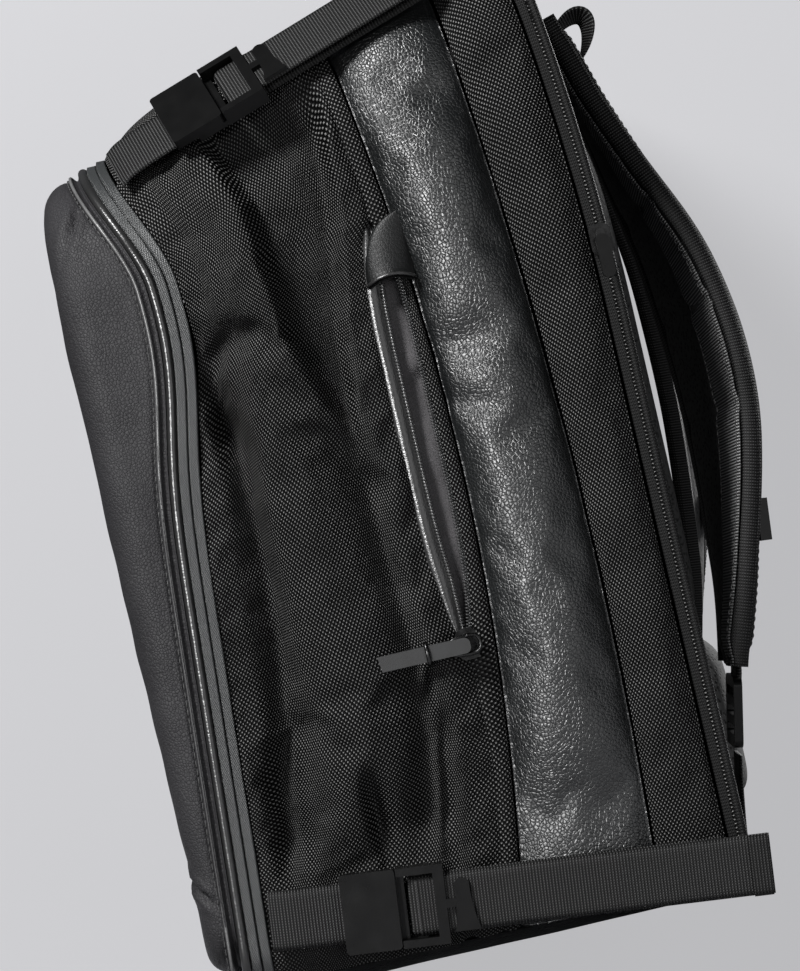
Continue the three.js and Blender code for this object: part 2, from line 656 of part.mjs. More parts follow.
function addShoulderStraps() {
  const middle = new THREE.CatmullRomCurve3(strapLine.map(([x, y, z]) => new THREE.Vector3(x, y, z)));
  const halfWidth = (t) => {
    const place = THREE.MathUtils.clamp(t, 0, 0.9999) * (strapLine.length - 1);
    const row = Math.floor(place);
    return THREE.MathUtils.lerp(strapLine[row][3], strapLine[row + 1][3], place - row);
  };
  const surface = (t, across) => {
    const point = middle.getPoint(THREE.MathUtils.clamp(t, 0, 1));
    const reach = across * halfWidth(t);
    const twist = twistAt(t);
    return point.add(new THREE.Vector3(reach * Math.cos(twist), reach * Math.sin(twist), 0));
  };
  const rearward = () => new THREE.Vector3(0, 1, 0);
  addPair('shoulder_strap', sheet({
    surface, u: [0.0011, 0.9989], v: [-1, 1], steps: [16, 2], depth: -PAD / 2, thickness: PAD,
    outward: rearward,
  }), mesh3d);

  const lock = roundedRectangle(33, 30, 4);
  for (const z of [-7.5, 0.5, 8.5]) {
    lock.holes.push(new THREE.Path(roundedRectangle(26, 4, 1).getPoints(2).map((p) => p.setY(p.y + z))));
  }
  const lockSolid = pushedOut(lock, 3.6, 3).rotateX(Math.PI / 2 - 0.2).translate(99, 123, 72);
  addPair('ladder_lock', lockSolid, plastic);
  const webSurface = (t, across) => new THREE.Vector3(
    99 + across * (WEBBING / 2),
    THREE.MathUtils.lerp(113.6, 118.5, t),
    THREE.MathUtils.lerp(14, 54, t),
  );
  addPair('lower_webbing', sheet({
    surface: webSurface, u: [0, 1], v: [-1, 1], steps: [3, 1], thickness: WEB, outward: rearward,
  }), webbingCloth);
  const slideTwist = twistAt(0.77);
  const slide = block([-16, 16], [PAD / 2 + 0.4, PAD / 2 + 5.4], [-9, 9]);
  slide.rotateX(-0.1).rotateZ(slideTwist).translate(89, 140, 150);
  addPair('sternum_slide', slide, plastic);
}

function addHaulHandle() {
  const handle = cord([[-50, 0, 6], [-47, 0, 20], [-22, 0, 29], [22, 0, 29], [47, 0, 20], [50, 0, 6]], 5, 20);
  const mesh = add('haul_handle', handle, pebbledLeather);
  mesh.position.set(0, 88, topAt(88) + REAR_SWELL + 1);
  mesh.rotation.x = Math.atan(TOP_SLOPE);
}

addFrontCover();
addPanels();
addSideZip();
addRearZip();
addMainZip();
addBack();
addInsides();
addCompressionStraps();
addShoulderStraps();
addHaulHandle();

export default backpack;
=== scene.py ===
"""Looks for a nylon travel backpack with leather panels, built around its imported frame.

Shapes are worked out in millimetres, with the frame's axes: +Z up, the front cover faces -Y, the wearer is
at +Y and the wearer's right is +X. make_mesh turns them into metres.
"""
import math

import bpy
import numpy as np
from mathutils import Matrix, Vector, noise


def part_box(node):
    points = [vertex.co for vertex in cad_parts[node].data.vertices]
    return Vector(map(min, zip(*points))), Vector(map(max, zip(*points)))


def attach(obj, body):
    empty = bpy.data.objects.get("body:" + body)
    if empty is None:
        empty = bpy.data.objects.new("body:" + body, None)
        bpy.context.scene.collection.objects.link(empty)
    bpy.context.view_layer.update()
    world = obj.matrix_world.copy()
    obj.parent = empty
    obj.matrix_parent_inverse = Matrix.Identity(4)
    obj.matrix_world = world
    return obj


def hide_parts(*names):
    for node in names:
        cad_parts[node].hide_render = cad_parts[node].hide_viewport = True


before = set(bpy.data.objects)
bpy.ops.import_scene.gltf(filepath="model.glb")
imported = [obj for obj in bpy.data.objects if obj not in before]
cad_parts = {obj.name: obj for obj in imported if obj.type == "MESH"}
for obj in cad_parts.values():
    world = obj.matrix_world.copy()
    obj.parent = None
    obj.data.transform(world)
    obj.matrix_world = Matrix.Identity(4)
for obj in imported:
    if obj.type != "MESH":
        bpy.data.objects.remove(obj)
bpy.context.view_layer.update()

MM = 0.001
BAG = "bag"

# ---------------------------------------------------------------- driving dimensions, as in the frame
HALF_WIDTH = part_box("front_cover")[1][0] / MM
BOTTOM_RADIUS = 26
TOP_RADIUS = 55
TOP_HEIGHT = 392
TOP_SLOPE = 0.33
MAIN_SWELL = 5
BAND_SWELL = 4
REAR_SWELL = 3
MIDDLE_HEIGHT = 190
MIDDLE = (0, 0, MIDDLE_HEIGHT)
COVER_SETBACK = 9
WEBBING = 25
SIDE = (1.504, 3.496)
TOP = (3.504, 6.496)


def parting(z):
    """Where the main zip parts: bowed back below the top corners and swept forward over them."""
    return -98 + 0.072 * z + 7 * bump(z, 275, 45) - 22 * smooth(300, 372, z)


def cover_rim(z):
    return parting(z) - COVER_SETBACK


def main_front(z):
    return parting(z) + 4.4


def band_front(z):
    return 30 - 18 * ((z - 200) / 190) ** 2


def band_rear(z):
    return 76 - 9 * ((z - 150) / 190) ** 2


def rear_end(z):
    return 103 - 11 * (np.maximum(0, z - 250) / 150) ** 2


def top_at(y):
    return TOP_HEIGHT + TOP_SLOPE * y


def mix(a, b, t):
    return a + (b - a) * t


def smooth(low, high, value):
    t = np.clip((value - low) / (high - low), 0, 1)
    return t * t * (3 - 2 * t)


def bump(value, centre, width):
    return np.exp(-(((value - centre) / width) ** 2))


def path_at(z, points):
    """The y of a path of (y, z) points, top to bottom or bottom to top, at heights z."""
    ys, zs = zip(*sorted(points, key=lambda p: p[1]))
    return np.interp(z, zs, ys)


# ---------------------------------------------------------------- the body's skin
def outline(around, half, bottom, top, low, high):
    """A rounded outline in x and z: around runs 0..10 from the middle of the bottom, the right side first."""
    wrapped = np.mod(around, 10)
    left = wrapped > 5
    station = np.where(left, 10 - wrapped, wrapped)
    stretch = np.minimum(4, np.floor(station))
    t = station - stretch
    turn = t * math.pi / 2
    cases = [stretch == k for k in range(5)]
    x = np.select(cases, [
        t * (half - low),
        half - low + low * np.sin(turn),
        half,
        half - high * (1 - np.cos(turn)),
        (1 - t) * (half - high),
    ])
    z = np.select(cases, [
        bottom,
        bottom + low * (1 - np.cos(turn)),
        mix(bottom + low, top - high, t),
        top - high * (1 - np.sin(turn)),
        top,
    ])
    return np.where(left, -x, x), z


def skin(around, seam_from, seam_to, across, swell):
    """Grid of points between two seams, swelling in the middle."""
    a = np.asarray(around)[:, None]
    t = np.asarray(across)[None, :]
    out = swell * np.sin(math.pi * t)
    y = np.zeros((len(around), len(across)))
    for _ in range(5):
        x, z = outline(a, HALF_WIDTH + out, 0, top_at(y) + out, BOTTOM_RADIUS, TOP_RADIUS)
        y = mix(seam_from(z), seam_to(z), t)
    return np.stack([x, y, z], axis=2)


def stations(start, end, spacing):
    """Places round the outline, evenly spaced along it."""
    fine = np.linspace(start, end, 3000)
    x, z = outline(fine, HALF_WIDTH, 0, TOP_HEIGHT, BOTTOM_RADIUS, TOP_RADIUS)
    length = np.concatenate([[0], np.cumsum(np.hypot(np.diff(x), np.diff(z)))])
    count = int(length[-1] / spacing) + 1
    return np.interp(np.linspace(0, length[-1], count), length, fine)


# ---------------------------------------------------------------- meshes
def unit(vectors):
    return vectors / np.linalg.norm(vectors, axis=-1, keepdims=True)


def travelled(path):
    """The distance along a path at each of its points."""
    return np.concatenate([[0], np.cumsum(np.linalg.norm(np.diff(path, axis=0), axis=1))])


def cloth_grid(u_path, v_path):
    """Cloth coordinates of a grid, from the lengths of a path along it and one across it."""
    return np.stack(np.meshgrid(travelled(u_path), travelled(v_path), indexing="ij"), axis=2).reshape(-1, 2)


def outward_normals(points, centre=MIDDLE, wrap=False):
    """Unit normals of a grid, pointing away from a centre."""
    if wrap:
        along = np.roll(points, -1, axis=0) - np.roll(points, 1, axis=0)
    else:
        along = np.gradient(points, axis=0)
    normal = np.cross(along, np.gradient(points, axis=1))
    normal /= np.maximum(np.linalg.norm(normal, axis=2, keepdims=True), 1e-9)
    away = ((points - np.asarray(centre)) * normal).sum()
    return normal if away > 0 else -normal


def make_mesh(name, points, faces, coords=None):
    mesh = bpy.data.meshes.new(name)
    mesh.from_pydata((np.asarray(points) * MM).tolist(), [], faces)
    if coords is not None:
        layer = mesh.uv_layers.new(name="cloth")
        corner = np.empty(len(mesh.loops), dtype=np.int32)
        mesh.loops.foreach_get("vertex_index", corner)
        layer.data.foreach_set("uv", (np.asarray(coords)[corner] * MM).ravel())
    mesh.validate()
    make_outward(mesh)
    mesh.polygons.foreach_set("use_smooth", [True] * len(mesh.polygons))
    obj = bpy.data.objects.new(name, mesh)
    bpy.context.scene.collection.objects.link(obj)
    return obj


def make_outward(mesh):
    """Flips a closed mesh whose faces point inwards."""
    count = len(mesh.polygons)
    area = np.empty(count)
    centre = np.empty(count * 3)
    normal = np.empty(count * 3)
    mesh.polygons.foreach_get("area", area)
    mesh.polygons.foreach_get("center", centre)
    mesh.polygons.foreach_get("normal", normal)
    middle = centre.reshape(-1, 3).mean(axis=0)
    volume = ((centre.reshape(-1, 3) - middle) * normal.reshape(-1, 3)).sum(axis=1) @ area
    if volume < 0:
        mesh.flip_normals()


def closed_sheet(name, outer, thickness, centre=MIDDLE, inner=None):
    """Closes a grid of points and the grid a thickness below it into one body."""
    rows, cols = outer.shape[:2]
    if inner is None:
        inner = outer - thickness * outward_normals(outer, centre)
    points = np.concatenate([outer.reshape(-1, 3), inner.reshape(-1, 3)])
    below = rows * cols
    faces = []

    def wall(a, b, flip):
        side = (a, b, b + below, a + below)
        faces.append(side if flip else side[::-1])

    for i in range(rows - 1):
        for j in range(cols - 1):
            a, b = i * cols + j, (i + 1) * cols + j
            faces.append((a, b, b + 1, a + 1))
            faces.append((a + 1 + below, b + 1 + below, b + below, a + below))
        for j, flip in ((0, True), (cols - 1, False)):
            wall(i * cols + j, (i + 1) * cols + j, flip)
    for i, flip in ((0, False), (rows - 1, True)):
        for j in range(cols - 1):
            wall(i * cols + j, i * cols + j + 1, flip)
    coords = cloth_grid(outer[:, cols // 2], outer[rows // 2])
    return make_mesh(name, points, faces, np.concatenate([coords, coords]))


def tube_faces(rows, cols, first=0, closed_path=False):
    """Faces of a row of rings, with a cap on each end unless the path closes on itself."""
    faces = []
    for i in range(rows if closed_path else rows - 1):
        here = first + i * cols
        onward = first + (i + 1) % rows * cols
        for j in range(cols):
            k = (j + 1) % cols
            faces.append((here + j, onward + j, onward + k, here + k))
    if not closed_path:
        last = first + (rows - 1) * cols
        faces.append(tuple(range(first, first + cols)))
        faces.append(tuple(last + j for j in reversed(range(cols))))
    return faces


def sweep(name, path, sideways, profile, closed_path=False, scale=None):
    """Carries a closed profile of (sideways, out) points along a path.

    scale holds one (sideways, out) pair for each point of the path.
    """
    path = np.asarray(path, dtype=float)
    if closed_path:
        along = np.roll(path, -1, axis=0) - np.roll(path, 1, axis=0)
    else:
        along = np.gradient(path, axis=0)
    along = unit(along)
    side = np.broadcast_to(np.asarray(sideways, dtype=float), path.shape)
    side = unit(side - (side * along).sum(axis=1, keepdims=True) * along)
    out = np.cross(along, side)
    profile = np.asarray(profile, dtype=float)
    scale = np.ones((len(path), 2)) if scale is None else np.asarray(scale)
    points = (path[:, None] + side[:, None] * (profile[None, :, :1] * scale[:, None, :1])
              + out[:, None] * (profile[None, :, 1:] * scale[:, None, 1:]))
    rows, cols = points.shape[:2]
    faces = tube_faces(rows, cols, closed_path=closed_path)
    return make_mesh(name, points.reshape(-1, 3), faces, cloth_grid(path, profile))


def round_profile(radius, sides=12):
    turn = np.linspace(0, 2 * math.pi, sides, endpoint=False)
    return np.stack([radius * np.cos(turn), radius * np.sin(turn)], axis=1)


def flat_profile(width, thickness, edge=1.0, steps=10):
    """A ribbon's section: thick rounded edges when edge is above 1, flat between them."""
    x = np.linspace(-1, 1, steps + 1)
    rise = (1 + (edge - 1) * np.abs(x) ** 8) * np.sqrt(np.clip(1.001 - np.abs(x) ** 20, 0, 1))
    upper = np.stack([x * width / 2, rise * thickness / 2], axis=1)
    return np.concatenate([upper, (upper * [1, -1])[::-1][1:-1]])


def even_path(points, spacing):
    """A smooth path through points, evenly spaced."""
    points = np.asarray(points, dtype=float)
    knots = np.arange(len(points))
    fine = np.linspace(0, len(points) - 1, 60 * len(points))
    before = np.clip(np.floor(fine).astype(int), 0, len(points) - 2)
    t = (fine - knots[before])[:, None]
    tangent = np.gradient(points, axis=0)
    p, q = points[before], points[before + 1]
    m, n = tangent[before], tangent[before + 1]
    curve = ((2 * t**3 - 3 * t**2 + 1) * p + (t**3 - 2 * t**2 + t) * m
             + (-2 * t**3 + 3 * t**2) * q + (t**3 - t**2) * n)
    length = travelled(curve)
    count = max(3, int(length[-1] / spacing) + 1)
    places = np.linspace(0, length[-1], count)
    return np.stack([np.interp(places, length, curve[:, k]) for k in range(3)], axis=1)


def mirrored(obj, name):
    """Replaces a piece by its mirror image on the other side of the middle plane."""
    copy = obj.copy()
    copy.data = obj.data.copy()
    copy.name = name
    copy.data.name = name
    copy.data.transform(Matrix.Scale(-1, 4, (1, 0, 0)))
    copy.data.flip_normals()
    bpy.context.scene.collection.objects.link(copy)
    bpy.data.objects.remove(obj)
    return copy


def refine(obj):
    modifier = obj.modifiers.new("fine", "SUBSURF")
    modifier.levels = 1
    modifier.render_levels = 1
    return obj


def roughen(points, size, height, seed):
    """Smooth uneven heights over a grid, the same each run."""
    offset = Vector((seed * 17.3, seed * 5.1, seed * 9.7))
    flat = points.reshape(-1, 3) / size
    values = [noise.noise(Vector(p) + offset) for p in flat.tolist()]
    return height * np.array(values).reshape(points.shape[:2])


# ---------------------------------------------------------------- cloth
def settle(points, excess, pressure, frames=24, stiffness=12, bending=2.0, cap=8):
    """Lets a sheet that is sewn down along its border buckle under its own spare cloth."""
    rows, cols = points.shape[:2]
    faces = [(i * cols + j, (i + 1) * cols + j, (i + 1) * cols + j + 1, i * cols + j + 1)
             for i in range(rows - 1) for j in range(cols - 1)]
    mesh = bpy.data.meshes.new("settling")
    mesh.from_pydata((points.reshape(-1, 3) * MM).tolist(), [], faces)
    normal = np.empty(len(mesh.polygons) * 3)
    mesh.polygons.foreach_get("normal", normal)
    obj = bpy.data.objects.new("settling", mesh)
    bpy.context.scene.collection.objects.link(obj)
    border = [i * cols + j for i in range(rows) for j in range(cols)
              if i in (0, rows - 1) or j in (0, cols - 1)]
    obj.vertex_groups.new(name="sewn").add(border, 1.0, "REPLACE")
    cloth = obj.modifiers.new("cloth", "CLOTH")
    cloth.settings.vertex_group_mass = "sewn"
    cloth.settings.quality = 6
    cloth.settings.mass = 0.2
    cloth.settings.tension_stiffness = stiffness
    cloth.settings.compression_stiffness = stiffness
    cloth.settings.shear_stiffness = stiffness / 2
    cloth.settings.bending_stiffness = bending
    cloth.settings.air_damping = 6
    cloth.settings.shrink_min = -excess
    cloth.settings.effector_weights.gravity = 0
    away = 1 if (normal.reshape(-1, 3)[:, 0] * np.sign(points[..., 0].mean())).mean() > 0 else -1
    cloth.settings.use_pressure = pressure != 0
    cloth.settings.uniform_pressure_force = pressure * away
    scene = bpy.context.scene
    for number in range(1, frames + 1):
        scene.frame_set(number)
    moved = obj.evaluated_get(bpy.context.evaluated_depsgraph_get()).data
    flat = np.empty(rows * cols * 3)
    moved.vertices.foreach_get("co", flat)
    scene.frame_set(1)
    bpy.data.objects.remove(obj)
    shift = flat.reshape(rows, cols, 3) / MM - points
    length = np.linalg.norm(shift, axis=2, keepdims=True)
    return points + shift * np.minimum(1, cap / np.maximum(length, 1e-9))


# ---------------------------------------------------------------- materials
class Shader:
    """A material being built from nodes."""

    def __init__(self, name):
        self.material = bpy.data.materials.new(name)
        self.material.use_nodes = True
        self.nodes = self.material.node_tree.nodes
        self.links = self.material.node_tree.links
        self.surface = self.nodes["Principled BSDF"]

    def node(self, kind, **values):
        made = self.nodes.new("ShaderNode" + kind)
        for key, value in values.items():
            if key in made.inputs:
                self.feed(made.inputs[key], value)
            else:
                setattr(made, key, value)
        return made

    def feed(self, socket, value):
        if isinstance(value, bpy.types.NodeSocket):
            self.links.new(value, socket)
        else:
            socket.default_value = value

    def math(self, operation, a, b=0.0, c=0.0):
        made = self.nodes.new("ShaderNodeMath")
        made.operation = operation
        for socket, value in zip(made.inputs, (a, b, c)):
            self.feed(socket, value)
        return made.outputs[0]

    def place(self):
        return self.node("TexCoord").outputs["Object"]

    def cloth_coords(self):
        made = self.node("UVMap")
        made.uv_map = "cloth"
        return made.outputs["UV"]

    def waves(self, *pitches):
        """Sine waves along the cloth's two directions, with a pitch in metres for each."""
        parts = self.node("SeparateXYZ", Vector=self.cloth_coords())
        return [self.math("SINE", self.math("MULTIPLY", parts.outputs[k], 2 * math.pi / pitch))
                for k, pitch in enumerate(pitches)]

    def noise(self, scale, detail=2.0):
        return self.node("TexNoise", Scale=scale, Detail=detail, Vector=self.place()).outputs["Fac"]

    def cells(self, scale, feature="F1", vector=None):
        made = self.node("TexVoronoi", feature=feature)
        made.inputs["Scale"].default_value = scale
        self.feed(made.inputs["Vector"], vector or self.place())
        return made.outputs["Distance"]

    def ramp(self, fac, *stops):
        made = self.node("ValToRGB", Fac=fac)
        elements = made.color_ramp.elements
        while len(elements) < len(stops):
            elements.new(0.5)
        for element, (position, colour) in zip(elements, stops):
            element.position = position
            element.color = (*colour, 1) if len(colour) == 3 else colour
        return made.outputs["Color"]

    def relief(self, height, distance, strength=1.0, under=None):
        made = self.node("Bump", Height=height, Strength=strength, Distance=distance)
        if under is not None:
            self.links.new(under, made.inputs["Normal"])
        return made.outputs["Normal"]

    def done(self, **values):
        for key, value in values.items():
            self.feed(self.surface.inputs[key.replace("_", " ")], value)
        return self.material


def grey(value, tint=(1, 1, 1)):
    return tuple(value * t for t in tint)


def nylon_material(name, pitch=0.0020, light=0.26, dark=0.0003):
    """A basket weave of black yarn, with painted sheen: a short pale dash at each crossing."""
    s = Shader(name)
    height = s.math("MULTIPLY_ADD", s.math("MULTIPLY", *s.waves(pitch * 1.15, pitch * 0.87)), 0.5, 0.5)
    worn = s.noise(60, 3)
    # painted sheen: the pale colour at the weave's crossings stands in for the shine of the black yarn
    weave_painted_sheen = s.ramp(height, (0.62, grey(dark)), (0.82, grey(light * 0.4)), (1.0, grey(light, (1, 0.99, 0.96))))
    shade = s.node("MixRGB", blend_type="MULTIPLY", Fac=0.5, Color1=weave_painted_sheen, Color2=s.ramp(
        worn, (0.3, (0.45, 0.45, 0.45)), (0.7, (1, 1, 1))))
    return s.done(
        Base_Color=shade.outputs[0],
        Roughness=0.62,
        Specular_IOR_Level=0.06,
        Normal=s.relief(height, 0.0006, 0.9),
    )


def leather_material(name, colour, cell, depth, roughness, tint=(1, 1, 1), patch=0.2, crease=0.5, shine=0.5):
    """Rounded pebbles of a cell's size, with painted shade darkening the creases between them."""
    s = Shader(name)
    wander = s.node("TexNoise", Scale=0.22 / cell, Detail=1.0, Vector=s.place()).outputs["Color"]
    bent = s.node("VectorMath", operation="MULTIPLY_ADD")
    s.feed(bent.inputs[0], wander)
    bent.inputs[1].default_value = (1.1 * cell,) * 3
    s.feed(bent.inputs[2], s.place())
    near = s.cells(1 / cell, "F1", bent.outputs[0])
    edge = s.cells(1 / cell, "DISTANCE_TO_EDGE", bent.outputs[0])
    dome = s.math("SUBTRACT", 1.0, s.math("MULTIPLY", near, near))
    gutter = s.math("SMOOTH_MIN", s.math("MULTIPLY", edge, 4.0), 0.7, 0.5)
    body = s.math("MULTIPLY_ADD", dome, 0.6, gutter)
    broad = s.noise(24, 3)
    tone = s.ramp(broad, (0.3, grey(colour * (1 - patch), tint)), (0.7, grey(colour * (1 + patch), tint)))
    # painted shade: the colour falls to the factor crease in the creases between pebbles
    dark = s.ramp(edge, (0.0, grey(crease)), (0.14, (1, 1, 1)))
    shade = s.node("MixRGB", blend_type="MULTIPLY", Fac=1.0, Color1=tone, Color2=dark)
    rough = s.math("MULTIPLY_ADD", broad, 0.12, roughness - 0.06)
    return s.done(
        Base_Color=shade.outputs[0],
        Roughness=rough,
        Specular_IOR_Level=shine,
        Normal=s.relief(body, depth, 1.0),
    )


def smooth_leather_material(name, colour, roughness):
    s = Shader(name)
    fine = s.cells(1400, "F1")
    return s.done(
        Base_Color=s.ramp(s.noise(60, 3), (0.3, grey(colour * 0.8)), (0.7, grey(colour * 1.15))),
        Roughness=roughness,
        Normal=s.relief(fine, 0.00012, 0.5),
    )


def webbing_material(name, light=0.085):
    s = Shader(name)
    ribs, yarns = s.waves(0.0013, 0.0011)
    height = s.math("MULTIPLY_ADD", s.math("MULTIPLY", ribs, yarns), 0.25, s.math(
        "MULTIPLY_ADD", ribs, 0.25, 0.5))
    # painted shade and sheen: the colour is near black in the grooves between ribs and paler on the rib tops
    return s.done(
        Base_Color=s.ramp(height, (0.45, grey(0.0006)), (0.95, grey(light))),
        Roughness=0.6,
        Specular_IOR_Level=0.12,
        Normal=s.relief(height, 0.0003, 0.8),
    )


def zip_tape_material(name):
    s = Shader(name)
    height = s.math("MULTIPLY_ADD", s.math("MULTIPLY", *s.waves(0.0012, 0.0009)), 0.5, 0.5)
    return s.done(
        Base_Color=s.ramp(height, (0.2, grey(0.012)), (0.9, grey(0.06, (0.92, 1, 1.02)))),
        Roughness=0.36,
        Normal=s.relief(height, 0.00025, 0.8),
    )


def plastic_material(name, colour=0.003, roughness=0.3):
    s = Shader(name)
    grain = s.noise(1800, 2)
    return s.done(
        Base_Color=s.ramp(s.noise(70, 2), (0.3, grey(colour * 0.9)), (0.7, grey(colour * 1.1))),
        Roughness=s.math("MULTIPLY_ADD", s.noise(120, 3), 0.15, roughness - 0.07),
        Specular_IOR_Level=0.16,
        Normal=s.relief(grain, 0.00008, 0.5),
    )


def metal_material(name):
    s = Shader(name)
    return s.done(
        Base_Color=s.ramp(s.noise(200, 2), (0.3, grey(0.018)), (0.7, grey(0.035))),
        Metallic=1.0,
        Roughness=s.math("MULTIPLY_ADD", s.noise(400, 3), 0.15, 0.2),
        Normal=s.relief(s.noise(900, 2), 0.00004, 0.4),
    )


def rubber_material(name):
    s = Shader(name)
    return s.done(
        Base_Color=s.ramp(s.noise(150, 3), (0.3, grey(0.013)), (0.7, grey(0.02, (0.97, 1, 1.04)))),
        Roughness=0.5,
        Specular_IOR_Level=0.3,
        Normal=s.relief(s.noise(2200, 2), 0.00006, 0.5),
    )


def mesh_material(name):
    """Spacer mesh: a matte knit with painted shade in rows of dark holes."""
    s = Shader(name)
    holes = s.cells(520, "F1")
    height = s.math("MINIMUM", holes, 0.5)
    # painted shade: the colour is near black inside the holes
    return s.done(
        Base_Color=s.ramp(holes, (0.15, grey(0.006)), (0.5, grey(0.045))),
        Roughness=0.85,
        Specular_IOR_Level=0.15,
        Normal=s.relief(height, 0.0006, 1.0),
    )


def lining_material(name):
    s = Shader(name)
    fuzz = s.noise(2600, 4)
    return s.done(
        Base_Color=s.ramp(fuzz, (0.3, grey(0.045)), (0.75, grey(0.15, (1, 0.95, 1)))),
        Roughness=0.95,
        Specular_IOR_Level=0.1,
        Normal=s.relief(fuzz, 0.0004, 0.8),
    )


def thread_material(name, light=0.03):
    s = Shader(name)
    twist = s.noise(3000, 2)
    return s.done(
        Base_Color=s.ramp(twist, (0.3, grey(light * 0.6)), (0.7, grey(light * 1.4))),
        Roughness=0.6,
        Normal=s.relief(twist, 0.0001, 0.6),
    )


NYLON = nylon_material("nylon")
PEBBLED = leather_material("pebbled_leather", 0.0055, 0.0015, 0.00014, 0.35, (0.84, 1.0, 1.06))
COVER = leather_material("cover_leather", 0.025, 0.0013, 0.00016, 0.56, (1, 0.97, 1.05), 0.08, 0.7, 0.18)
SMOOTH = smooth_leather_material("smooth_leather", 0.018, 0.3)
HOOD = leather_material("hood_leather", 0.004, 0.0012, 0.00006, 0.44, (0.9, 1.0, 1.04), shine=0.2)
CLOTH_WEBBING = webbing_material("webbing")
ZIP_CLOTH = zip_tape_material("zip_tape")
PLASTIC = plastic_material("buckle_plastic")
METAL = metal_material("black_nickel")
RUBBER = rubber_material("pull_rubber")
COIL = rubber_material("zip_coil")
MESH = mesh_material("spacer_mesh")
LINING = lining_material("lining")
THREAD = thread_material("thread")
# a thin line along the cover's lip, in leather about four times paler than the cover
LIP = smooth_leather_material("pale_lip_leather", 0.11, 0.35)
BINDING = webbing_material("binding", 0.06)
DARK_TAPE = webbing_material("dark_tape", 0.02)
# painted light: the strap facing is coloured pale to stand in for light on the strap's shaded outer face
FACING_PAINTED_LIGHT = webbing_material("strap_facing_painted_light", 0.5)
BOARD = plastic_material("stiffener", 0.03, 0.5)


def own(obj, body, slot, material, *nodes):
    """Gives a piece its material and its body, and hides the CAD nodes it stands for; slot is not used."""
    obj.data.materials.clear()
    obj.data.materials.append(material)
    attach(obj, body)
    if nodes:
        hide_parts(*nodes)
    return obj


# ---------------------------------------------------------------- side zip lips
ZIP_Y = 16
ZIP_LOW = 122
ZIP_HIGH = 308
ZIP_GAPE = 8.6


def zip_gape(z):
    """Half of the mouth's width: a long oval, blunter at the top."""
    from_middle = np.clip(2 * (z - ZIP_LOW) / (ZIP_HIGH - ZIP_LOW) - 1, -1, 1)
    return ZIP_GAPE * (1 - np.abs(from_middle) ** np.where(from_middle > 0, 6, 3.5))


def zip_line(z):
    return np.minimum(ZIP_Y, band_front(z) - 7)


# ---------------------------------------------------------------- main gusset
def valley(y, centre, before, after):
    """A crease that falls away over one distance and rises over another."""
    side = y - centre
    return np.where(side < 0, bump(side, 0, before), bump(side, 0, after))


def main_relief(points, seed):
    """Heights of the sagging nylon above its smooth skin, in the main compartment's side."""
    y, z = points[..., 1], points[..., 2]
    crest = path_at(z, [(-50, 340), (-44, 300), (-40, 240), (-36, 180), (-34, 110), (-38, 60)])
    relief = 8.5 * bump(y, crest, 18) * smooth(334, 285, z) * smooth(50, 96, z)
    first = path_at(z, [(-70, 300), (-64, 262), (-61, 228), (-63, 165), (-67, 110), (-72, 92), (-77, 52)])
    relief -= 13 * valley(y, first, 4.5, 8) * smooth(300, 246, z) * smooth(40, 56, z)
    relief -= 7 * bump(y, -63, 4.5) * bump(z, 236, 12)
    relief -= 4 * bump(z, 266 + 0.35 * (y + 63), 7) * smooth(-66, -56, y) * smooth(-30, -40, y)
    left = path_at(z, [(-46, 356), (-34, 325), (-31, 303), (-28, 270), (-19, 238), (-11, 222)])
    right = path_at(z, [(4, 356), (1, 310), (-5, 271), (-10, 228), (-9, 199)])
    hollow = smooth(left - 1, left + 4.5, y) * smooth(right + 3.5, right - 1.5, y) * smooth(214, 244, z)
    relief -= 15 * hollow * smooth(380, 350, z)
    lid = bump(y, left - 5, 6) * smooth(232, 262, z) * smooth(345, 318, z)
    relief += 3.5 * lid
    second = path_at(z, [(-11, 230), (-9, 199), (-7, 160), (-6, 130), (-9, 95), (-20, 45)])
    relief -= 8 * valley(y, second, 7, 3.6) * smooth(240, 214, z) * smooth(40, 60, z)
    relief -= 5 * bump(y, -9, 4.5) * bump(z, 200, 11)
    relief -= 10 * valley(y, -37, 3, 5) * smooth(94, 72, z) * smooth(36, 50, z)
    relief -= 8 * bump(y, path_at(z, [(0, 110), (-2, 95), (-10, 45)]), 2.8) * smooth(112, 88, z)
    relief += 3 * bump(y, -86, 8) * smooth(310, 270, z) * smooth(60, 100, z)
    relief += roughen(points, 34, 2.6, seed)
    relief += roughen(points, 13, 0.8, seed + 1)
    pressed = smooth(66, 50, z)
    return np.minimum(relief, mix(9.0, -0.4, pressed)) * mix(1, 0.4, pressed)


def main_bulge(y):
    """How far the main gusset's smooth skin swells past the body's side."""
    front, rear = main_front(MIDDLE_HEIGHT), band_front(MIDDLE_HEIGHT)
    return MAIN_SWELL * np.sin(math.pi * np.clip((y - front) / (rear - front), 0, 1))


def sewn_edges(across, depth=1.6, reach=0.05):
    """The pull-in beside the seams of a panel."""
    near = np.minimum(across, 1 - across)
    return -depth * np.exp(-near / reach)[None, :]


def panel_part(around, seam_from, seam_to, across, swell, relief, seed, spare=0.02):
    base = skin(around, seam_from, seam_to, across, swell)
    normal = outward_normals(base)
    height = relief(base, seed) + sewn_edges(across)
    shaped = base + normal * height[..., None]
    return settle(shaped, spare, 0.2)


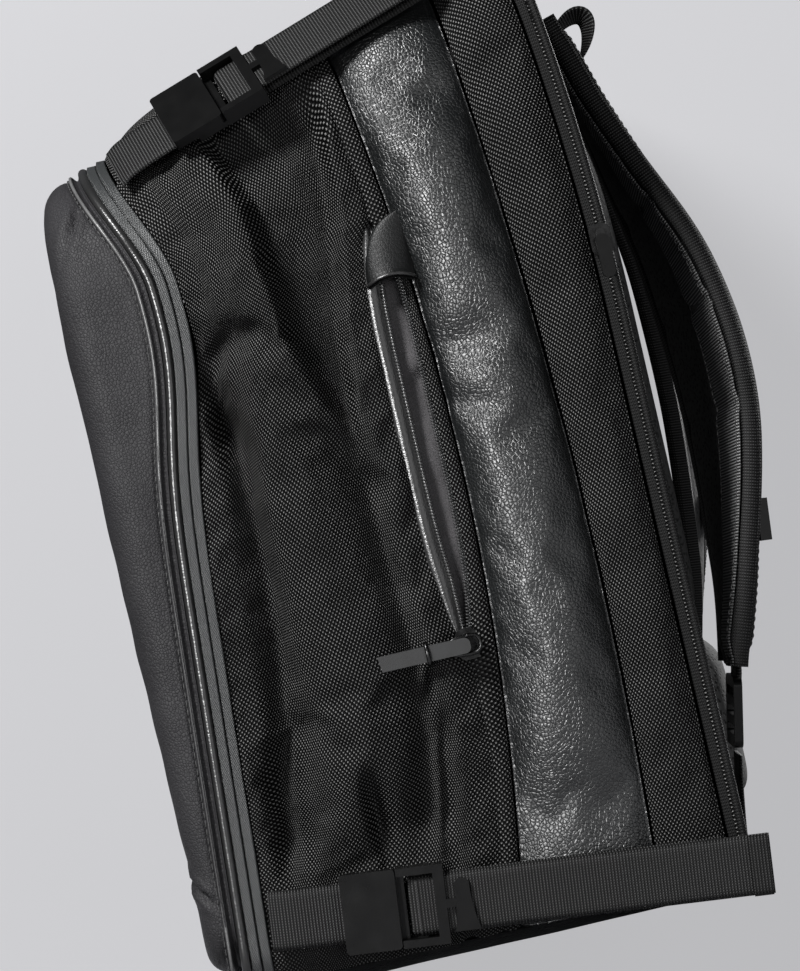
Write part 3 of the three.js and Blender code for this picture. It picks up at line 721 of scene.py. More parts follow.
def main_side_part(name, zone, seed):
    """One part of the side, in front of or behind the zip's lips."""
    lips = {
        "front": (lambda z: main_front(z) + 0.2, lambda z: zip_line(z) + 0.1 - zip_gape(z)),
        "rear": (lambda z: zip_line(z) - 0.1 + zip_gape(z), lambda z: band_front(z) - 0.2),
    }[zone]
    width = 104 if zone == "front" else 14
    around = stations(*SIDE, 2.4)
    across = np.linspace(0, 1, int(width / 2.3) + 1)
    a = around[:, None]
    t = across[None, :]
    y = np.zeros((len(around), len(across)))
    for _ in range(5):
        out = main_bulge(y)
        x, z = outline(a, HALF_WIDTH + out, 0, top_at(y) + out, BOTTOM_RADIUS, TOP_RADIUS)
        y = mix(lips[0](z), lips[1](z), t)
    base = np.stack([x, y, z], axis=2)
    normal = outward_normals(base)
    beside_mouth = smooth(104, 126, z) * smooth(320, 306, z)
    fade = 1 if zone == "front" else 0.3 + 0.7 * (1 - beside_mouth) * (1 - t)
    height = fade * main_relief(base, seed) + sewn_edges(across, 1.4, 0.03 if zone == "front" else 0.15)
    shaped = base + normal * height[..., None]
    if zone == "front":
        shaped = settle(shaped, 0.02, 0.0, cap=2.5)
    return refine(closed_sheet(name, shaped, 1.6))


def whole_main_side(seed):
    """The side without a zip, as one panel from the cover to the band."""
    around = stations(*SIDE, 2.4)
    across = np.linspace(0.002, 0.998, 52)
    shaped = panel_part(around, main_front, band_front, across, MAIN_SWELL, main_relief, seed)
    return mirrored(refine(closed_sheet("gusset_right_whole", shaped, 1.6)), "gusset_left")


def add_main_sides():
    own(main_side_part("gusset_front_right", "front", 1), BAG, "nylon", NYLON, "main_side_right")
    own(main_side_part("gusset_rear_right", "rear", 1), BAG, "nylon", NYLON)
    own(whole_main_side(5), BAG, "nylon", NYLON, "main_side_left")


def soft_relief(height, size=40):
    def relief(points, seed):
        return roughen(points, size, height, seed) + roughen(points, size / 3, height / 3, seed + 1)
    return relief


def band_relief(points, seed):
    """The padded leather band: full in the middle, with a dent and creases part way up."""
    y, z = points[..., 1], points[..., 2]
    t = (y - band_front(z)) / (band_rear(z) - band_front(z))
    full = 1 - np.abs(2 * np.clip(t, 0, 1) - 1) ** 2.4
    free = smooth(50, 84, z) * smooth(366, 330, z)
    relief = 5.5 * full * mix(0.0, 1.0, free)
    relief -= 3.2 * bump(z, 250 + 0.25 * (y - 40), 9) * bump(y, 42, 16)
    relief -= 1.6 * bump(z, 226 - 0.3 * (y - 40), 6) * bump(y, 36, 12)
    relief -= 1.3 * bump(z, 205 + 0.4 * (y - 40), 7) * bump(y, 60, 12)
    return relief + free * (roughen(points, 44, 1.3, seed) + roughen(points, 15, 0.25, seed + 1))


def add_bands():
    around = stations(*SIDE, 2.6)
    across = np.linspace(0.004, 0.996, 22)
    for side, seed in (("right", 3), ("left", 8)):
        shaped = panel_part(around, band_front, band_rear, across, BAND_SWELL, band_relief, seed, 0.003)
        piece = refine(closed_sheet(f"band_{side}", shaped, 2.4))
        if side == "left":
            piece = mirrored(piece, "band_left_side")
        own(piece, BAG, "pebbled_leather", PEBBLED, f"leather_band_{side}")


def rear_relief(points, seed):
    y, z = points[..., 1], points[..., 2]
    t = (y - band_rear(z)) / (rear_end(z) - band_rear(z))
    full = 1 - np.abs(2 * np.clip(t, 0, 1) - 1) ** 2.6
    free = smooth(46, 80, z) * smooth(366, 330, z)
    beside_zip = smooth(1.0, 0.6, t)
    return free * (1.6 * full + roughen(points, 30, 1.0, seed)) * beside_zip - 0.8 * (1 - beside_zip)


def add_rear_sides():
    around = stations(*SIDE, 3.0)
    across = np.linspace(0.006, 0.994, 14)
    for side, seed in (("right", 11), ("left", 14)):
        shaped = panel_part(around, band_rear, rear_end, across, REAR_SWELL, rear_relief, seed, 0.004)
        piece = refine(closed_sheet(f"rear_gusset_{side}", shaped, 1.6))
        if side == "left":
            piece = mirrored(piece, "rear_gusset_left_side")
        own(piece, BAG, "nylon", NYLON, f"rear_side_{side}")


def add_tops():
    around = stations(*TOP, 3.2)
    rows = (
        ("gusset_top", main_front, band_front, MAIN_SWELL, 34, NYLON, "nylon", "main_top", 2.2),
        ("band_top", band_front, band_rear, BAND_SWELL, 18, PEBBLED, "pebbled_leather",
         "leather_band_top", 1),
        ("rear_gusset_top", band_rear, rear_end, REAR_SWELL, 12, NYLON, "nylon", "rear_top", 0.8),
    )
    for name, start, end, swell, count, material, slot, node, height in rows:
        across = np.linspace(0.004, 0.996, count)
        shaped = panel_part(around, start, end, across, swell, soft_relief(height), len(name))
        piece = refine(closed_sheet(name, shaped, 1.8))
        own(piece, BAG, slot, material, node)


# ---------------------------------------------------------------- front cover
COVER_FACE = -119
COVER_BOTTOM = 14.5
COVER_CROWN = 3
COVER_MIDDLE = 185
DARTS = ((-101, 340, 0.58, 15), (-113, 50, -0.9, 12))  # y, z, slope and reach of each corner's dart


def cover_points(around, stages):
    """The cover's skin: stages 0..1 up its wall, 1..2 round its edge, 2..3 in to the middle of its face."""
    a = np.asarray(around)[:, None]
    stage = np.asarray(stages)[None, :]
    z = 180 + 0 * a + 0 * stage
    y = COVER_FACE + 0 * z
    for _ in range(6):
        radius = 9.5 + 0.022 * np.minimum(z, 200)
        turn = np.clip(stage - 1, 0, 1) * math.pi / 2
        inset = radius * (1 - np.cos(turn))
        top = top_at(np.where(stage < 1, y, COVER_FACE + radius)) - 1
        low = np.maximum(4, 24 - inset)
        high = np.maximum(4, TOP_RADIUS - inset)
        x, z = outline(a, HALF_WIDTH - inset, COVER_BOTTOM + inset, top - inset, low, high)
        wall = mix(cover_rim(z), COVER_FACE + radius, np.clip(stage, 0, 1))
        face = COVER_FACE + radius - radius * np.sin(turn)
        y = np.where(stage < 1, wall, face)
    keep = 1 - np.clip(stage - 2, 0, 1)
    crown = COVER_CROWN * (1 - keep**2)
    return np.stack([x * keep, y - crown, mix(COVER_MIDDLE, z, keep)], axis=2)


def cover_relief(points):
    """Soft waves in the leather, and darts at the corners."""
    x, y, z = points[..., 0], points[..., 1], points[..., 2]
    relief = roughen(points, 46, 1.6, 21) + roughen(points, 17, 0.5, 22)
    side = np.abs(x)
    for dart_y, dart_z, slope, reach in DARTS:
        off = y - dart_y - slope * (z - dart_z)
        fade = bump(z, dart_z, reach) * smooth(60, 100, side)
        relief = relief - 3.2 * bump(off, 0, 1.3) * fade
        relief = relief + (1.8 * bump(off, 3.4, 2.2) + 1.3 * bump(off, -4.0, 2.6)) * fade
    inside = cover_rim(z) - y
    relief = relief * smooth(3, 12, inside)
    relief -= 1.5 * bump(inside, 1.3, 1.1)
    relief += 0.8 * bump(inside, 3.6, 0.8)
    return relief - 0.7 * bump(inside, 5.2, 0.8)


def add_cover():
    around = stations(0, 10, 2.6)[:-1]
    stages = np.concatenate([
        np.linspace(0, 1, 30)[:-1],
        np.linspace(1, 2, 12)[:-1],
        np.linspace(2, 2.985, 46),
    ])
    base = cover_points(around, stages)
    normal = outward_normals(base, (0, -90, COVER_MIDDLE), wrap=True)
    outer = base + normal * cover_relief(base)[..., None]
    inner = outer - 2.6 * normal
    piece = cover_dish("cover_shell", outer, inner)
    own(piece, "cover", "cover_leather", COVER, "front_cover")
    add_cover_lip()
    add_cover_seams()


def cover_dish(name, outer, inner):
    """Rings that end in a small middle face, as an outer and an inner skin."""
    rows, cols = outer.shape[:2]
    points = np.concatenate([outer.reshape(-1, 3), inner.reshape(-1, 3)])
    below = rows * cols
    faces = []
    for i in range(rows):
        k = (i + 1) % rows
        for j in range(cols - 1):
            a, b, c, d = i * cols + j, k * cols + j, k * cols + j + 1, i * cols + j + 1
            faces.append((a, b, c, d))
            faces.append((d + below, c + below, b + below, a + below))
        faces.append((k * cols, i * cols, i * cols + below, k * cols + below))
    faces.append(tuple(i * cols + cols - 1 for i in range(rows)))
    faces.append(tuple(i * cols + cols - 1 + below for i in reversed(range(rows))))
    return make_mesh(name, points, faces, coords=points[:, [0, 2]])


def rim_path(offset, inset, spacing=2.5, seam=parting):
    """A path up one side of the body, over its top and down the other, beside a seam."""
    around = stations(1.6, 8.4, spacing)
    z = np.full(len(around), 200.0)
    y = seam(z) + offset
    for _ in range(5):
        x, z = outline(around, HALF_WIDTH - inset, inset, top_at(y) - inset,
                       BOTTOM_RADIUS - inset, TOP_RADIUS - inset)
        y = seam(z) + offset
    return np.stack([x, y, z], axis=1)


def away_from_middle(path):
    """Directions across a path round the body, towards the wearer."""
    return np.tile([0.0, 1.0, 0.0], (len(path), 1))


def add_cover_lip():
    lip = rim_path(-COVER_SETBACK - 3.6, 0.0)
    piece = sweep("cover_lip", lip, away_from_middle(lip), round_profile(0.7))
    own(piece, "cover", "cover_leather", LIP)
    pipe = rim_path(-6.7, 1.0)
    own(sweep("cover_piping_roll", pipe, away_from_middle(pipe), round_profile(2.0, 16)),
        "cover", "pebbled_leather", SMOOTH, "cover_piping")
    for name, offset, body, node in (
        ("cover_tape", -2.4, "cover", "cover_zip_tape"),
        ("main_tape", 2.2, BAG, "main_zip_tape"),
    ):
        path = rim_path(offset, 1.4)
        ribbon = sweep(name, path, away_from_middle(path), flat_profile(4.3, 2.4, 1.1))
        own(ribbon, body, "zip_tape", ZIP_CLOTH, node)
    teeth("main_coil", rim_path(0.0, 2.6, spacing=1.2), (0.9, 0.5, 0.6), BAG)


def teeth(name, path, size, body):
    """A zip's coil: one small rounded link at each point of an evenly spaced path."""
    points = []
    faces = []
    along = unit(np.gradient(path, axis=0))
    ring = np.array([[-1, -0.6], [-1, 0.6], [-0.5, 1], [0.5, 1], [1, 0.6], [1, -0.6], [0.5, -1], [-0.5, -1]])
    for centre, forward in zip(path, along):
        side = np.array([0.0, 1.0, 0.0])
        side = unit(side - (side @ forward) * forward)
        out = np.cross(forward, side)
        faces += tube_faces(2, len(ring), first=len(points))
        for end in (-1, 1):
            for u, v in ring:
                points.append(centre + end * size[1] * forward * 0.7 + u * size[0] * side + v * size[2] * out)
    return own(make_mesh(name, points, faces), body, "zip_tape", COIL)


def stitches(name, path, lift, body, slot="cover_leather", length=2.6, gap=1.0, radius=0.28):
    """A row of separate stitches lying on a path that is given with its outward directions."""
    path, outward = path
    distance = travelled(path)
    starts = np.arange(0.5, distance[-1] - length, length + gap)
    points = []
    faces = []
    bend = np.linspace(0, 1, 5)
    ring = round_profile(radius, 6)
    for start in starts:
        places = start + bend * length
        centre = np.stack([np.interp(places, distance, path[:, k]) for k in range(3)], axis=1)
        out = unit(np.stack([np.interp(places, distance, outward[:, k]) for k in range(3)], axis=1))
        centre = centre + out * (lift - 0.35 + 0.35 * np.sin(math.pi * bend))[:, None]
        side = np.cross(unit(np.gradient(centre, axis=0)), out)
        faces += tube_faces(len(bend), len(ring), first=len(points))
        for row in range(len(bend)):
            for u, v in ring:
                points.append(centre[row] + u * side[row] + v * out[row])
    return own(make_mesh(name, points, faces), body, slot, THREAD)


def add_cover_seams():
    """Stitches in the groove beside the cover's lip."""
    seam = rim_path(-COVER_SETBACK - 5.2, 0.5)
    outward = (seam - MIDDLE) * (1, 0, 1)
    stitches("cover_stitching", (seam, unit(outward)), 0.2, "cover")


# ---------------------------------------------------------------- side zip
def zip_side_x(y):
    return HALF_WIDTH + main_bulge(y)


def lip_height(y, z):
    """How far the sagging nylon stands above its skin just in front of the mouth."""
    points = np.stack([0 * y, y, z], axis=-1)[:, None]
    return 0.5 * main_relief(points, 1)[:, 0]


def add_side_zip():
    z = np.linspace(ZIP_LOW + 1, ZIP_HIGH - 3, 150)
    for name, sign, bare, node in (
        ("side_tape_front", -1, 6.6, "side_zip_tape_front"),
        ("side_tape_rear", 1, 1.8, "side_zip_tape_rear"),
    ):
        outer = zip_gape(z) + 2.6
        inner = np.maximum(zip_gape(z) - bare, 0.35)
        lift = mix(0, lip_height(ZIP_Y + sign * outer, z), 0.3 if sign < 0 else 0.2)
        rows = []
        for share in np.linspace(0, 1, 9):
            yy = ZIP_Y + sign * mix(outer, inner, share)
            crown = 1.6 * math.sin(math.pi * min(1, share * 1.1)) if sign < 0 else 0.4
            buried = 1.8 * (1 - share) ** 3 if sign < 0 else 0
            x = zip_side_x(yy) - 2.4 + crown + lift * (1 - share) - buried
            rows.append(np.stack([x, yy, z], axis=1))
        grid = np.stack(rows, axis=1)
        own(closed_sheet(name, grid, 0.9, centre=(0, ZIP_Y, 200)), BAG, "zip_tape",
            SMOOTH if sign < 0 else ZIP_CLOTH, node)
        coil = np.stack([zip_side_x(ZIP_Y + sign * inner) - 1.7, ZIP_Y + sign * inner, z], axis=1)
        teeth(f"side_coil_{'front' if sign < 0 else 'rear'}", even_path(coil[::6], 1.35),
              (0.95, 0.55, 0.7), BAG)
    add_lining()
    add_garage()
    add_wire_loop()


def add_lining():
    z = np.linspace(100, 312, 70)
    y = np.linspace(3, 26, 16)
    zz, yy = np.meshgrid(z, y, indexing="ij")
    x = zip_side_x(yy) - 4.2 - 1.2 * bump(yy, ZIP_Y, 7) - 4 * smooth(128, 112, zz)
    grid = np.stack([x, yy, zz], axis=2)
    grid[..., 0] += roughen(grid, 14, 1.6, 31) - 2.2 * bump(zz, 236 + 0.2 * yy, 2.2)
    own(refine(closed_sheet("pocket_lining", grid, 1.0)), BAG, "lining", LINING, "side_pocket_lining")


def add_garage():
    """A leather hood over the top of the zip, with a rolled lower edge."""
    rise_share = np.linspace(0, 1, 22)
    turn = np.linspace(-1, 1, 25)
    ss, tt = np.meshgrid(rise_share, turn, indexing="ij")
    zz = 283 + 27 * ss - 3.0 * np.abs(tt) ** 2 * (1 - ss)
    width = np.maximum(10.4 * np.sqrt(np.clip(1 - ss**2.2, 0, 1)), 0.8)
    middle = ZIP_Y + 3 + 10.4 - width
    rise = np.sqrt(np.clip(1 - tt**2, 0, 1)) * mix(6.4, 1.2, ss**0.8)
    rise += 0.9 * bump(ss, 0.03, 0.05) * np.sqrt(np.clip(1 - tt**2, 0, 1))
    x = zip_side_x(ZIP_Y) - 1.4 + rise
    grid = np.stack([x, middle + tt * width, zz], axis=2)
    own(refine(closed_sheet("zip_hood", grid, 1.6, centre=(120, ZIP_Y, 298))), BAG, "pebbled_leather",
        HOOD, "side_zip_garage")
    lip = grid[1] + np.array([0.7, 0, 0])
    own(sweep("zip_hood_lip", lip, (1, 0, 0), round_profile(0.7, 12)), BAG, "pebbled_leather", SMOOTH)


def add_wire_loop():
    """The bent wire and the ring that join the rubber pull to its slider."""
    pivot = np.array([HALF_WIDTH + 10.1, ZIP_Y, 129])
    half_loop = [(3, 3.6), (-5, 3.4), (-8, 2.0), (-12, 2.4)]
    bend = half_loop + [(-14.5, 0.4)] + [(y, -z) for y, z in reversed(half_loop)] + [(5.2, 0)]
    wire = np.array([pivot + np.array([0.2, y, z]) for y, z in bend])
    closed = np.concatenate([wire, wire[:3]])
    path = even_path(closed, 0.5)
    start = int(len(path) * 0.5 / len(closed))
    count = int(len(path) * len(wire) / (len(closed) - 1))
    own(sweep("pull_wire", path[start:start + count], (1, 0, 0), round_profile(0.75, 10), closed_path=True),
        "side_pull", "black_nickel", METAL)
    turn = np.linspace(0, 2 * math.pi, 40, endpoint=False)
    ring = pivot + np.stack([2.6 * np.cos(turn), np.full(len(turn), -17.0), 4.4 * np.sin(turn)], axis=1)
    own(sweep("pull_collar", ring, (0, 1, 0), round_profile(0.9, 10), closed_path=True),
        "side_pull", "black_nickel", METAL)


# ---------------------------------------------------------------- compression straps
def strap_frames():
    roll = math.pi / 4
    reach = TOP_RADIUS + MAIN_SWELL * math.sqrt(2) + 0.8
    y = -80
    upper = dict(
        place=(HALF_WIDTH - TOP_RADIUS + reach * math.cos(roll), y,
               top_at(y) - TOP_RADIUS + reach * math.sin(roll)),
        slope=math.atan(TOP_SLOPE), roll=roll, start=24, anchor=174, tail=148,
    )
    lower = dict(
        place=(HALF_WIDTH + MAIN_SWELL + 0.4, -86, 35),
        slope=math.radians(-6), roll=0, start=27, anchor=182, tail=204,
    )
    return {"upper": upper, "lower": lower}


def strap_matrix(spec):
    turn = Matrix.Rotation(spec["slope"], 4, "X") @ Matrix.Rotation(-spec["roll"], 4, "Y")
    return Matrix.Translation(Vector(spec["place"]) * MM) @ turn


def webbing(name, points, width=WEBBING):
    """A ribbed ribbon through (along, out) points, in a strap's own frame."""
    spacing, rib_pitch = 0.42, 1.3
    path = even_path([(x, y, 0) for y, x in points], spacing)
    ribs = 1 + 0.13 * np.sin(2 * math.pi * np.arange(len(path)) * spacing / rib_pitch)
    scale = np.stack([np.ones(len(path)), ribs], axis=1)
    return sweep(name, path, (0, 0, 1), flat_profile(width, 1.5, 1.25, 12), scale=scale)


def place_strap_piece(piece, spec, side):
    piece.data.transform(strap_matrix(spec))
    return mirrored(piece, piece.name + "_l") if side == "left" else piece


def add_straps():
    for height, spec in strap_frames().items():
        start, anchor, tail = spec["start"], spec["anchor"], spec["tail"]
        for side in ("right", "left"):
            front = webbing(f"{height}_front_web_{side}", [
                (-3, -2.0), (3, 0.4), (start * 0.6, 1.3), (start + 8, 1.5)])
            own(place_strap_piece(front, spec, side), f"{height}_buckle_{side}", "webbing", CLOTH_WEBBING,
                f"{height}_front_webbing_{side}")
            bar = start + 30
            loop = [(anchor + 4, -2.5), (anchor - 8, 0.6), (anchor - 30, 1.1), (bar + 8, 1.1), (bar + 2, 1.1),
                    (bar - 0.9, 1.9), (bar - 1.4, 3.2), (bar - 0.9, 4.5), (bar + 2, 5.2), (bar + 8, 5.2),
                    (mix(bar, tail, 0.5), 5.4), (tail - 6, 5.6), (tail, 5.7)]
            rear = webbing(f"{height}_rear_web_{side}", loop)
            own(place_strap_piece(rear, spec, side), BAG, "webbing", CLOTH_WEBBING,
                f"{height}_rear_webbing_{side}")
            fold = webbing(f"{height}_tail_fold_{side}", [(tail - 8, 6.9), (tail - 4, 7.0), (tail, 6.9)],
                           WEBBING + 0.6)
            own(place_strap_piece(fold, spec, side), BAG, "webbing", BINDING)


# ---------------------------------------------------------------- hard parts that keep their CAD shape
def keep_cad(node, material, bevel):
    """Shows a CAD node as it is, with a material and a fine bevel on its edges."""
    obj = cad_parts[node]
    obj.data.materials.clear()
    obj.data.materials.append(material)
    edge = obj.modifiers.new("edge", "BEVEL")
    edge.width = bevel * MM
    edge.segments = 3
    edge.limit_method = "ANGLE"
    edge.angle_limit = math.radians(35)
    edge.harden_normals = True


def keep_hard_parts():
    for height in ("upper", "lower"):
        for side in ("right", "left"):
            keep_cad(f"{height}_buckle_plate_{side}", PLASTIC, 1.1)
            keep_cad(f"{height}_buckle_tongue_{side}", PLASTIC, 0.35)
    for side in ("right", "left"):
        keep_cad(f"ladder_lock_{side}", PLASTIC, 0.6)
        keep_cad(f"sternum_slide_{side}", PLASTIC, 1.0)
    for place in ("side", "rear", "main"):
        keep_cad(f"{place}_zip_slider", METAL, 0.4)
        keep_cad(f"{place}_zip_pull", RUBBER if place == "side" else PLASTIC, 0.7)
    keep_cad("frame_sheet", BOARD, 0.4)
    keep_cad("base_board", BOARD, 0.4)
    keep_cad("laptop_divider", LINING, 1.5)


# ---------------------------------------------------------------- back and shoulder straps
def behind(z, offset):
    return rear_end(z) + offset


def pad(name, x_range, z_range, offset, height, crown, material, slot, *nodes):
    """A crowned pad standing on the back panel, with rounded corners."""
    u = np.linspace(-1, 1, 41)
    v = np.linspace(-1, 1, 61)
    uu, vv = np.meshgrid(u, v, indexing="ij")
    x = mix(*x_range, (uu * np.sqrt(1 - 0.28 * vv**6) + 1) / 2)
    z = mix(*z_range, (vv * np.sqrt(1 - 0.28 * uu**6) + 1) / 2)
    full = (1 - np.abs(uu) ** 5) * (1 - np.abs(vv) ** 8)
    rise = height * np.clip(full, 0, 1) ** 0.35 + crown * full
    back = behind(z, offset)
    outer = np.stack([x, back + rise, z], axis=2)
    inner = np.stack([x, back - 0.6, z], axis=2)
    return own(closed_sheet(name, outer, 1, inner=inner), BAG, slot, material, *nodes)


def add_back():
    around = stations(0, 10, 4.0)[:-1]
    keeps = np.linspace(1, 0.02, 34)
    x, _, z = skin(around, rear_end, rear_end, [0.5], 0)[:, 0].T
    rings = [np.stack([x * k * 0.993, behind(mix(MIDDLE_HEIGHT, z, k), 8.2),
                       mix(MIDDLE_HEIGHT, z * 0.996 + 0.8, k)], axis=1) for k in keeps]
    grid = np.stack(rings, axis=1)
    grid[..., 1] += roughen(grid, 50, 0.8, 41) - 2.2 * np.exp(-(1 - keeps) / 0.02)[None, :]
    inner = grid - np.array([0, 3, 0])
    own(cover_dish("back_skin", grid, inner), BAG, "nylon", NYLON, "back_panel")
    pad("back_pad_r", (14, 118), (112, 330), 8.7, 4.2, 1.6, MESH, "spacer_mesh", "back_pad_right")
    pad("back_pad_l", (-118, -14), (112, 330), 8.7, 4.2, 1.6, MESH, "spacer_mesh", "back_pad_left")
    pad("lumbar", (-75, 75), (28, 100), 8.7, 11.5, 3.0, MESH, "spacer_mesh", "lumbar_pad")
    pad("yoke", (-88, 88), (386, 404), 8.7, 3.6, 0.6, NYLON, "nylon", "strap_yoke")
    edge_path = rim_path(6.6, 0.6, seam=rear_end)
    own(sweep("back_piping", edge_path, away_from_middle(edge_path), round_profile(1.8)),
        BAG, "nylon", DARK_TAPE)
    tape = rim_path(2.4, 1.6, seam=rear_end)
    own(sweep("rear_tape", tape, away_from_middle(tape), flat_profile(4.0, 1.5, 1.1)), BAG, "zip_tape",
        DARK_TAPE, "rear_zip_tape")


STRAP_LINE = (
    (48, 110, 380), (49, 117, 358), (53, 130, 312), (63, 143, 262),
    (78, 146, 202), (92, 136, 136), (99, 125, 92),
)
STRAP_HALF_WIDTHS = (31, 33, 34, 33, 31, 27, 22)
STRAP_TWIST = math.radians(20)
LOWER_WEB_X = 99


def add_shoulder(side):
    """A padded strap with mesh inside and two bindings outside, turned a little about its length."""
    sign = 1 if side == "right" else -1
    body = f"shoulder_{side}"
    path = even_path(STRAP_LINE, 2.5)
    share = np.linspace(0, 1, len(path))
    half = np.interp(share, np.linspace(0, 1, len(STRAP_HALF_WIDTHS)), STRAP_HALF_WIDTHS)
    twist = STRAP_TWIST * np.sin(math.pi * np.clip((share - 0.12) / 0.88, 0, 1)) ** 1.3
    across = np.stack([np.cos(twist), np.sin(twist), 0 * twist], axis=1)

    def add(piece, slot, material, *nodes):
        own(mirrored(piece, piece.name + "_l") if sign < 0 else piece, body, slot, material, *nodes)

    turn = np.linspace(0, 2 * math.pi, 48, endpoint=False)
    flat = np.stack([np.sign(np.cos(turn)) * np.abs(np.cos(turn)) ** 0.5,
                     5.4 * np.sign(np.sin(turn)) * np.abs(np.sin(turn)) ** 0.7], axis=1)
    ends = np.clip(np.minimum(share, 1 - share) * 26, 0.25, 1) ** 0.5
    creases = 1 - 0.22 * sum(bump(share, place, 0.012) for place in (0.30, 0.47, 0.63))
    scale = np.stack([half - 2.4, ends * creases], axis=1)
    add(refine(sweep(f"pad_{side}", path, across, flat, scale=scale)), "spacer_mesh", MESH,
        f"shoulder_strap_{side}")
    for edge in (-1, 1):
        where = "outer" if edge > 0 else "inner"
        line = path + across * (edge * (half - 2.4))[:, None]
        binding = sweep(f"binding_{side}_{where}", line, across, flat_profile(5.4, 8.4, 1.0, 8))
        add(binding, "webbing", BINDING)
    normal = unit(np.cross(across, np.gradient(path, axis=0)))
    normal *= np.sign(normal[:, 1:2])
    for shift, width in ((0.30, 9.0), (0.62, 7.5)):
        label = f"{side}_{int(width * 10)}"
        line = path + across * (shift * half)[:, None] + normal * (5.3 * ends * creases)[:, None]
        add(sweep(f"cover_tape_{label}", line, across, flat_profile(width, 1.4, 1.1)), "webbing", BINDING)
        seam = (line + across * (width / 2 - 1.2), normal)
        add(stitches(f"strap_thread_{label}", seam, 0.9, body, "webbing"), "webbing", THREAD)
    facing_line = path + across * (0.56 * half)[:, None] - normal * (5.2 * ends * creases)[:, None]
    # the facing's pale colour is painted light on the strap's shaded face
    add(sweep(f"outer_facing_{side}", facing_line, across, flat_profile(24, 1.4, 1.1)), "webbing", FACING_PAINTED_LIGHT)
    for edge in (-9.5, 9.5):
        where = "low" if edge < 0 else "high"
        seam = (facing_line + across * edge, -normal)
        add(stitches(f"facing_thread_{side}_{where}", seam, 0.9, body, "webbing"), "webbing", THREAD)
    add_lower_webbing(side, sign * LOWER_WEB_X)


def add_lower_webbing(side, x):
    """The webbing below a shoulder strap, and its short end in the ladder lock."""
    for name, points, thickness, body, nodes in (
        ("lower_web", ((112.6, 10), (113.4, 22), (116, 40), (118.6, 54)), 1.5, BAG,
         [f"lower_webbing_{side}"]),
        ("lock_tab", ((126.5, 98), (126.0, 90), (124.4, 84), (121.8, 76)), 2.4, f"shoulder_{side}", []),
    ):
        path = even_path([(x, y, z) for y, z in points], 0.5)
        ribbon = sweep(f"{name}_{side}", path, (1, 0, 0), flat_profile(WEBBING, thickness, 1.2, 12))
        own(ribbon, body, "webbing", CLOTH_WEBBING, *nodes)


HANG_TWIST = math.radians(38)
HANDLE_Y = 88


def add_hang_loop():
    """A ribbon ring that leans back and turns its upper part a little to the side."""
    turn = np.linspace(0, 2 * math.pi, 80, endpoint=False)
    lean = math.radians(38)
    short, tall = 8.2 * np.cos(turn), 18.2 * np.sin(turn)
    y = 121 + short * math.cos(lean) + tall * math.sin(lean)
    z = 372 - short * math.sin(lean) + tall * math.cos(lean)
    path = np.stack([0 * turn, y, z], axis=1)
    along = unit(np.gradient(path, axis=0))
    sideways = np.array([1.0, 0.0, 0.0])
    twist = HANG_TWIST * np.clip(np.sin(turn), 0, 1)[:, None]
    across = np.cos(twist) * sideways + np.sin(twist) * np.cross(along, sideways)
    own(sweep("hanging_ribbon", path, across, flat_profile(12, 1.4, 1.1), closed_path=True), BAG, "webbing",
        CLOTH_WEBBING, "hang_loop")


def add_handle():
    place = Vector((0, HANDLE_Y, top_at(HANDLE_Y) + REAR_SWELL + 1))
    turn = Matrix.Rotation(math.atan(TOP_SLOPE), 3, "X")
    right_half = [(22, 0, 29), (47, 0, 20), (50, 0, 6)]
    local = [(-x, y, z) for x, y, z in reversed(right_half)] + right_half
    path = even_path([tuple(place + turn @ Vector(p)) for p in local], 2.5)
    thick = 1 - 0.25 * np.abs(np.linspace(-1, 1, len(path))) ** 4
    scale = np.stack([thick, thick], axis=1)
    piece = sweep("carry_handle", path, (0, 1, 0), round_profile(5, 16), scale=scale)
    own(refine(piece), "handle", "pebbled_leather", PEBBLED, "haul_handle")


def add_base():
    around = stations(-1.496, 1.496, 4.0)
    across = np.linspace(0, 1, 50)
    base = skin(around, main_front, rear_end, across, 0)
    normal = outward_normals(base)
    flat = np.abs(base[..., 0]) < 116
    lift = np.where(flat, 0, roughen(base, 30, 0.5, 51))
    shell = closed_sheet("base_skin", base + normal * lift[..., None], 2.4)
    own(shell, BAG, "pebbled_leather", PEBBLED, "base_panel")
    add_toe()


def add_toe():
    """The base's front edge under the cover, a little narrower towards both ends."""
    profile = ((-111.0, 2.0), (-110.2, 0.7), (-108.8, 0.1), (-94, 0.1), (-93.6, 13.0), (-109.5, 13.2),
               (-110.8, 12.2))
    points = []
    for x in np.linspace(-122, 122, 60):
        keep = 1 - 0.5 * max(0, (abs(x) - 108) / 14) ** 2
        points.append([(x, mix(-96, y, keep), z) for y, z in profile])
    points = np.array(points)
    faces = tube_faces(*points.shape[:2])
    own(make_mesh("base_toe", points.reshape(-1, 3), faces), BAG, "pebbled_leather", PEBBLED)


# ---------------------------------------------------------------- stage, light and camera
FLOOR_REACH = 3.0
FLOOR_HEIGHT = -0.0005
BACKDROP_X = -0.19


def stage_panel(name, corners, fades):
    mesh = bpy.data.meshes.new(name)
    mesh.from_pydata(corners, [], [(0, 1, 2, 3)])
    panel = bpy.data.objects.new(name, mesh)
    bpy.context.scene.collection.objects.link(panel)
    panel.data.materials.append(stage_material(name, fades))
    return panel


def add_stage():
    turns = ((-1, -1), (1, -1), (1, 1), (-1, 1))
    corners = [(x * FLOOR_REACH, y * FLOOR_REACH, FLOOR_HEIGHT) for x, y in turns]
    floor = stage_panel("floor", corners, fades=True)
    floor.visible_shadow = False
    floor.visible_diffuse = False
    wall = stage_panel("backdrop", [(BACKDROP_X, 1.2 * y, 0.4 + z) for y, z in turns], fades=False)


BACKGROUND = (0.62, 0.62, 0.64)


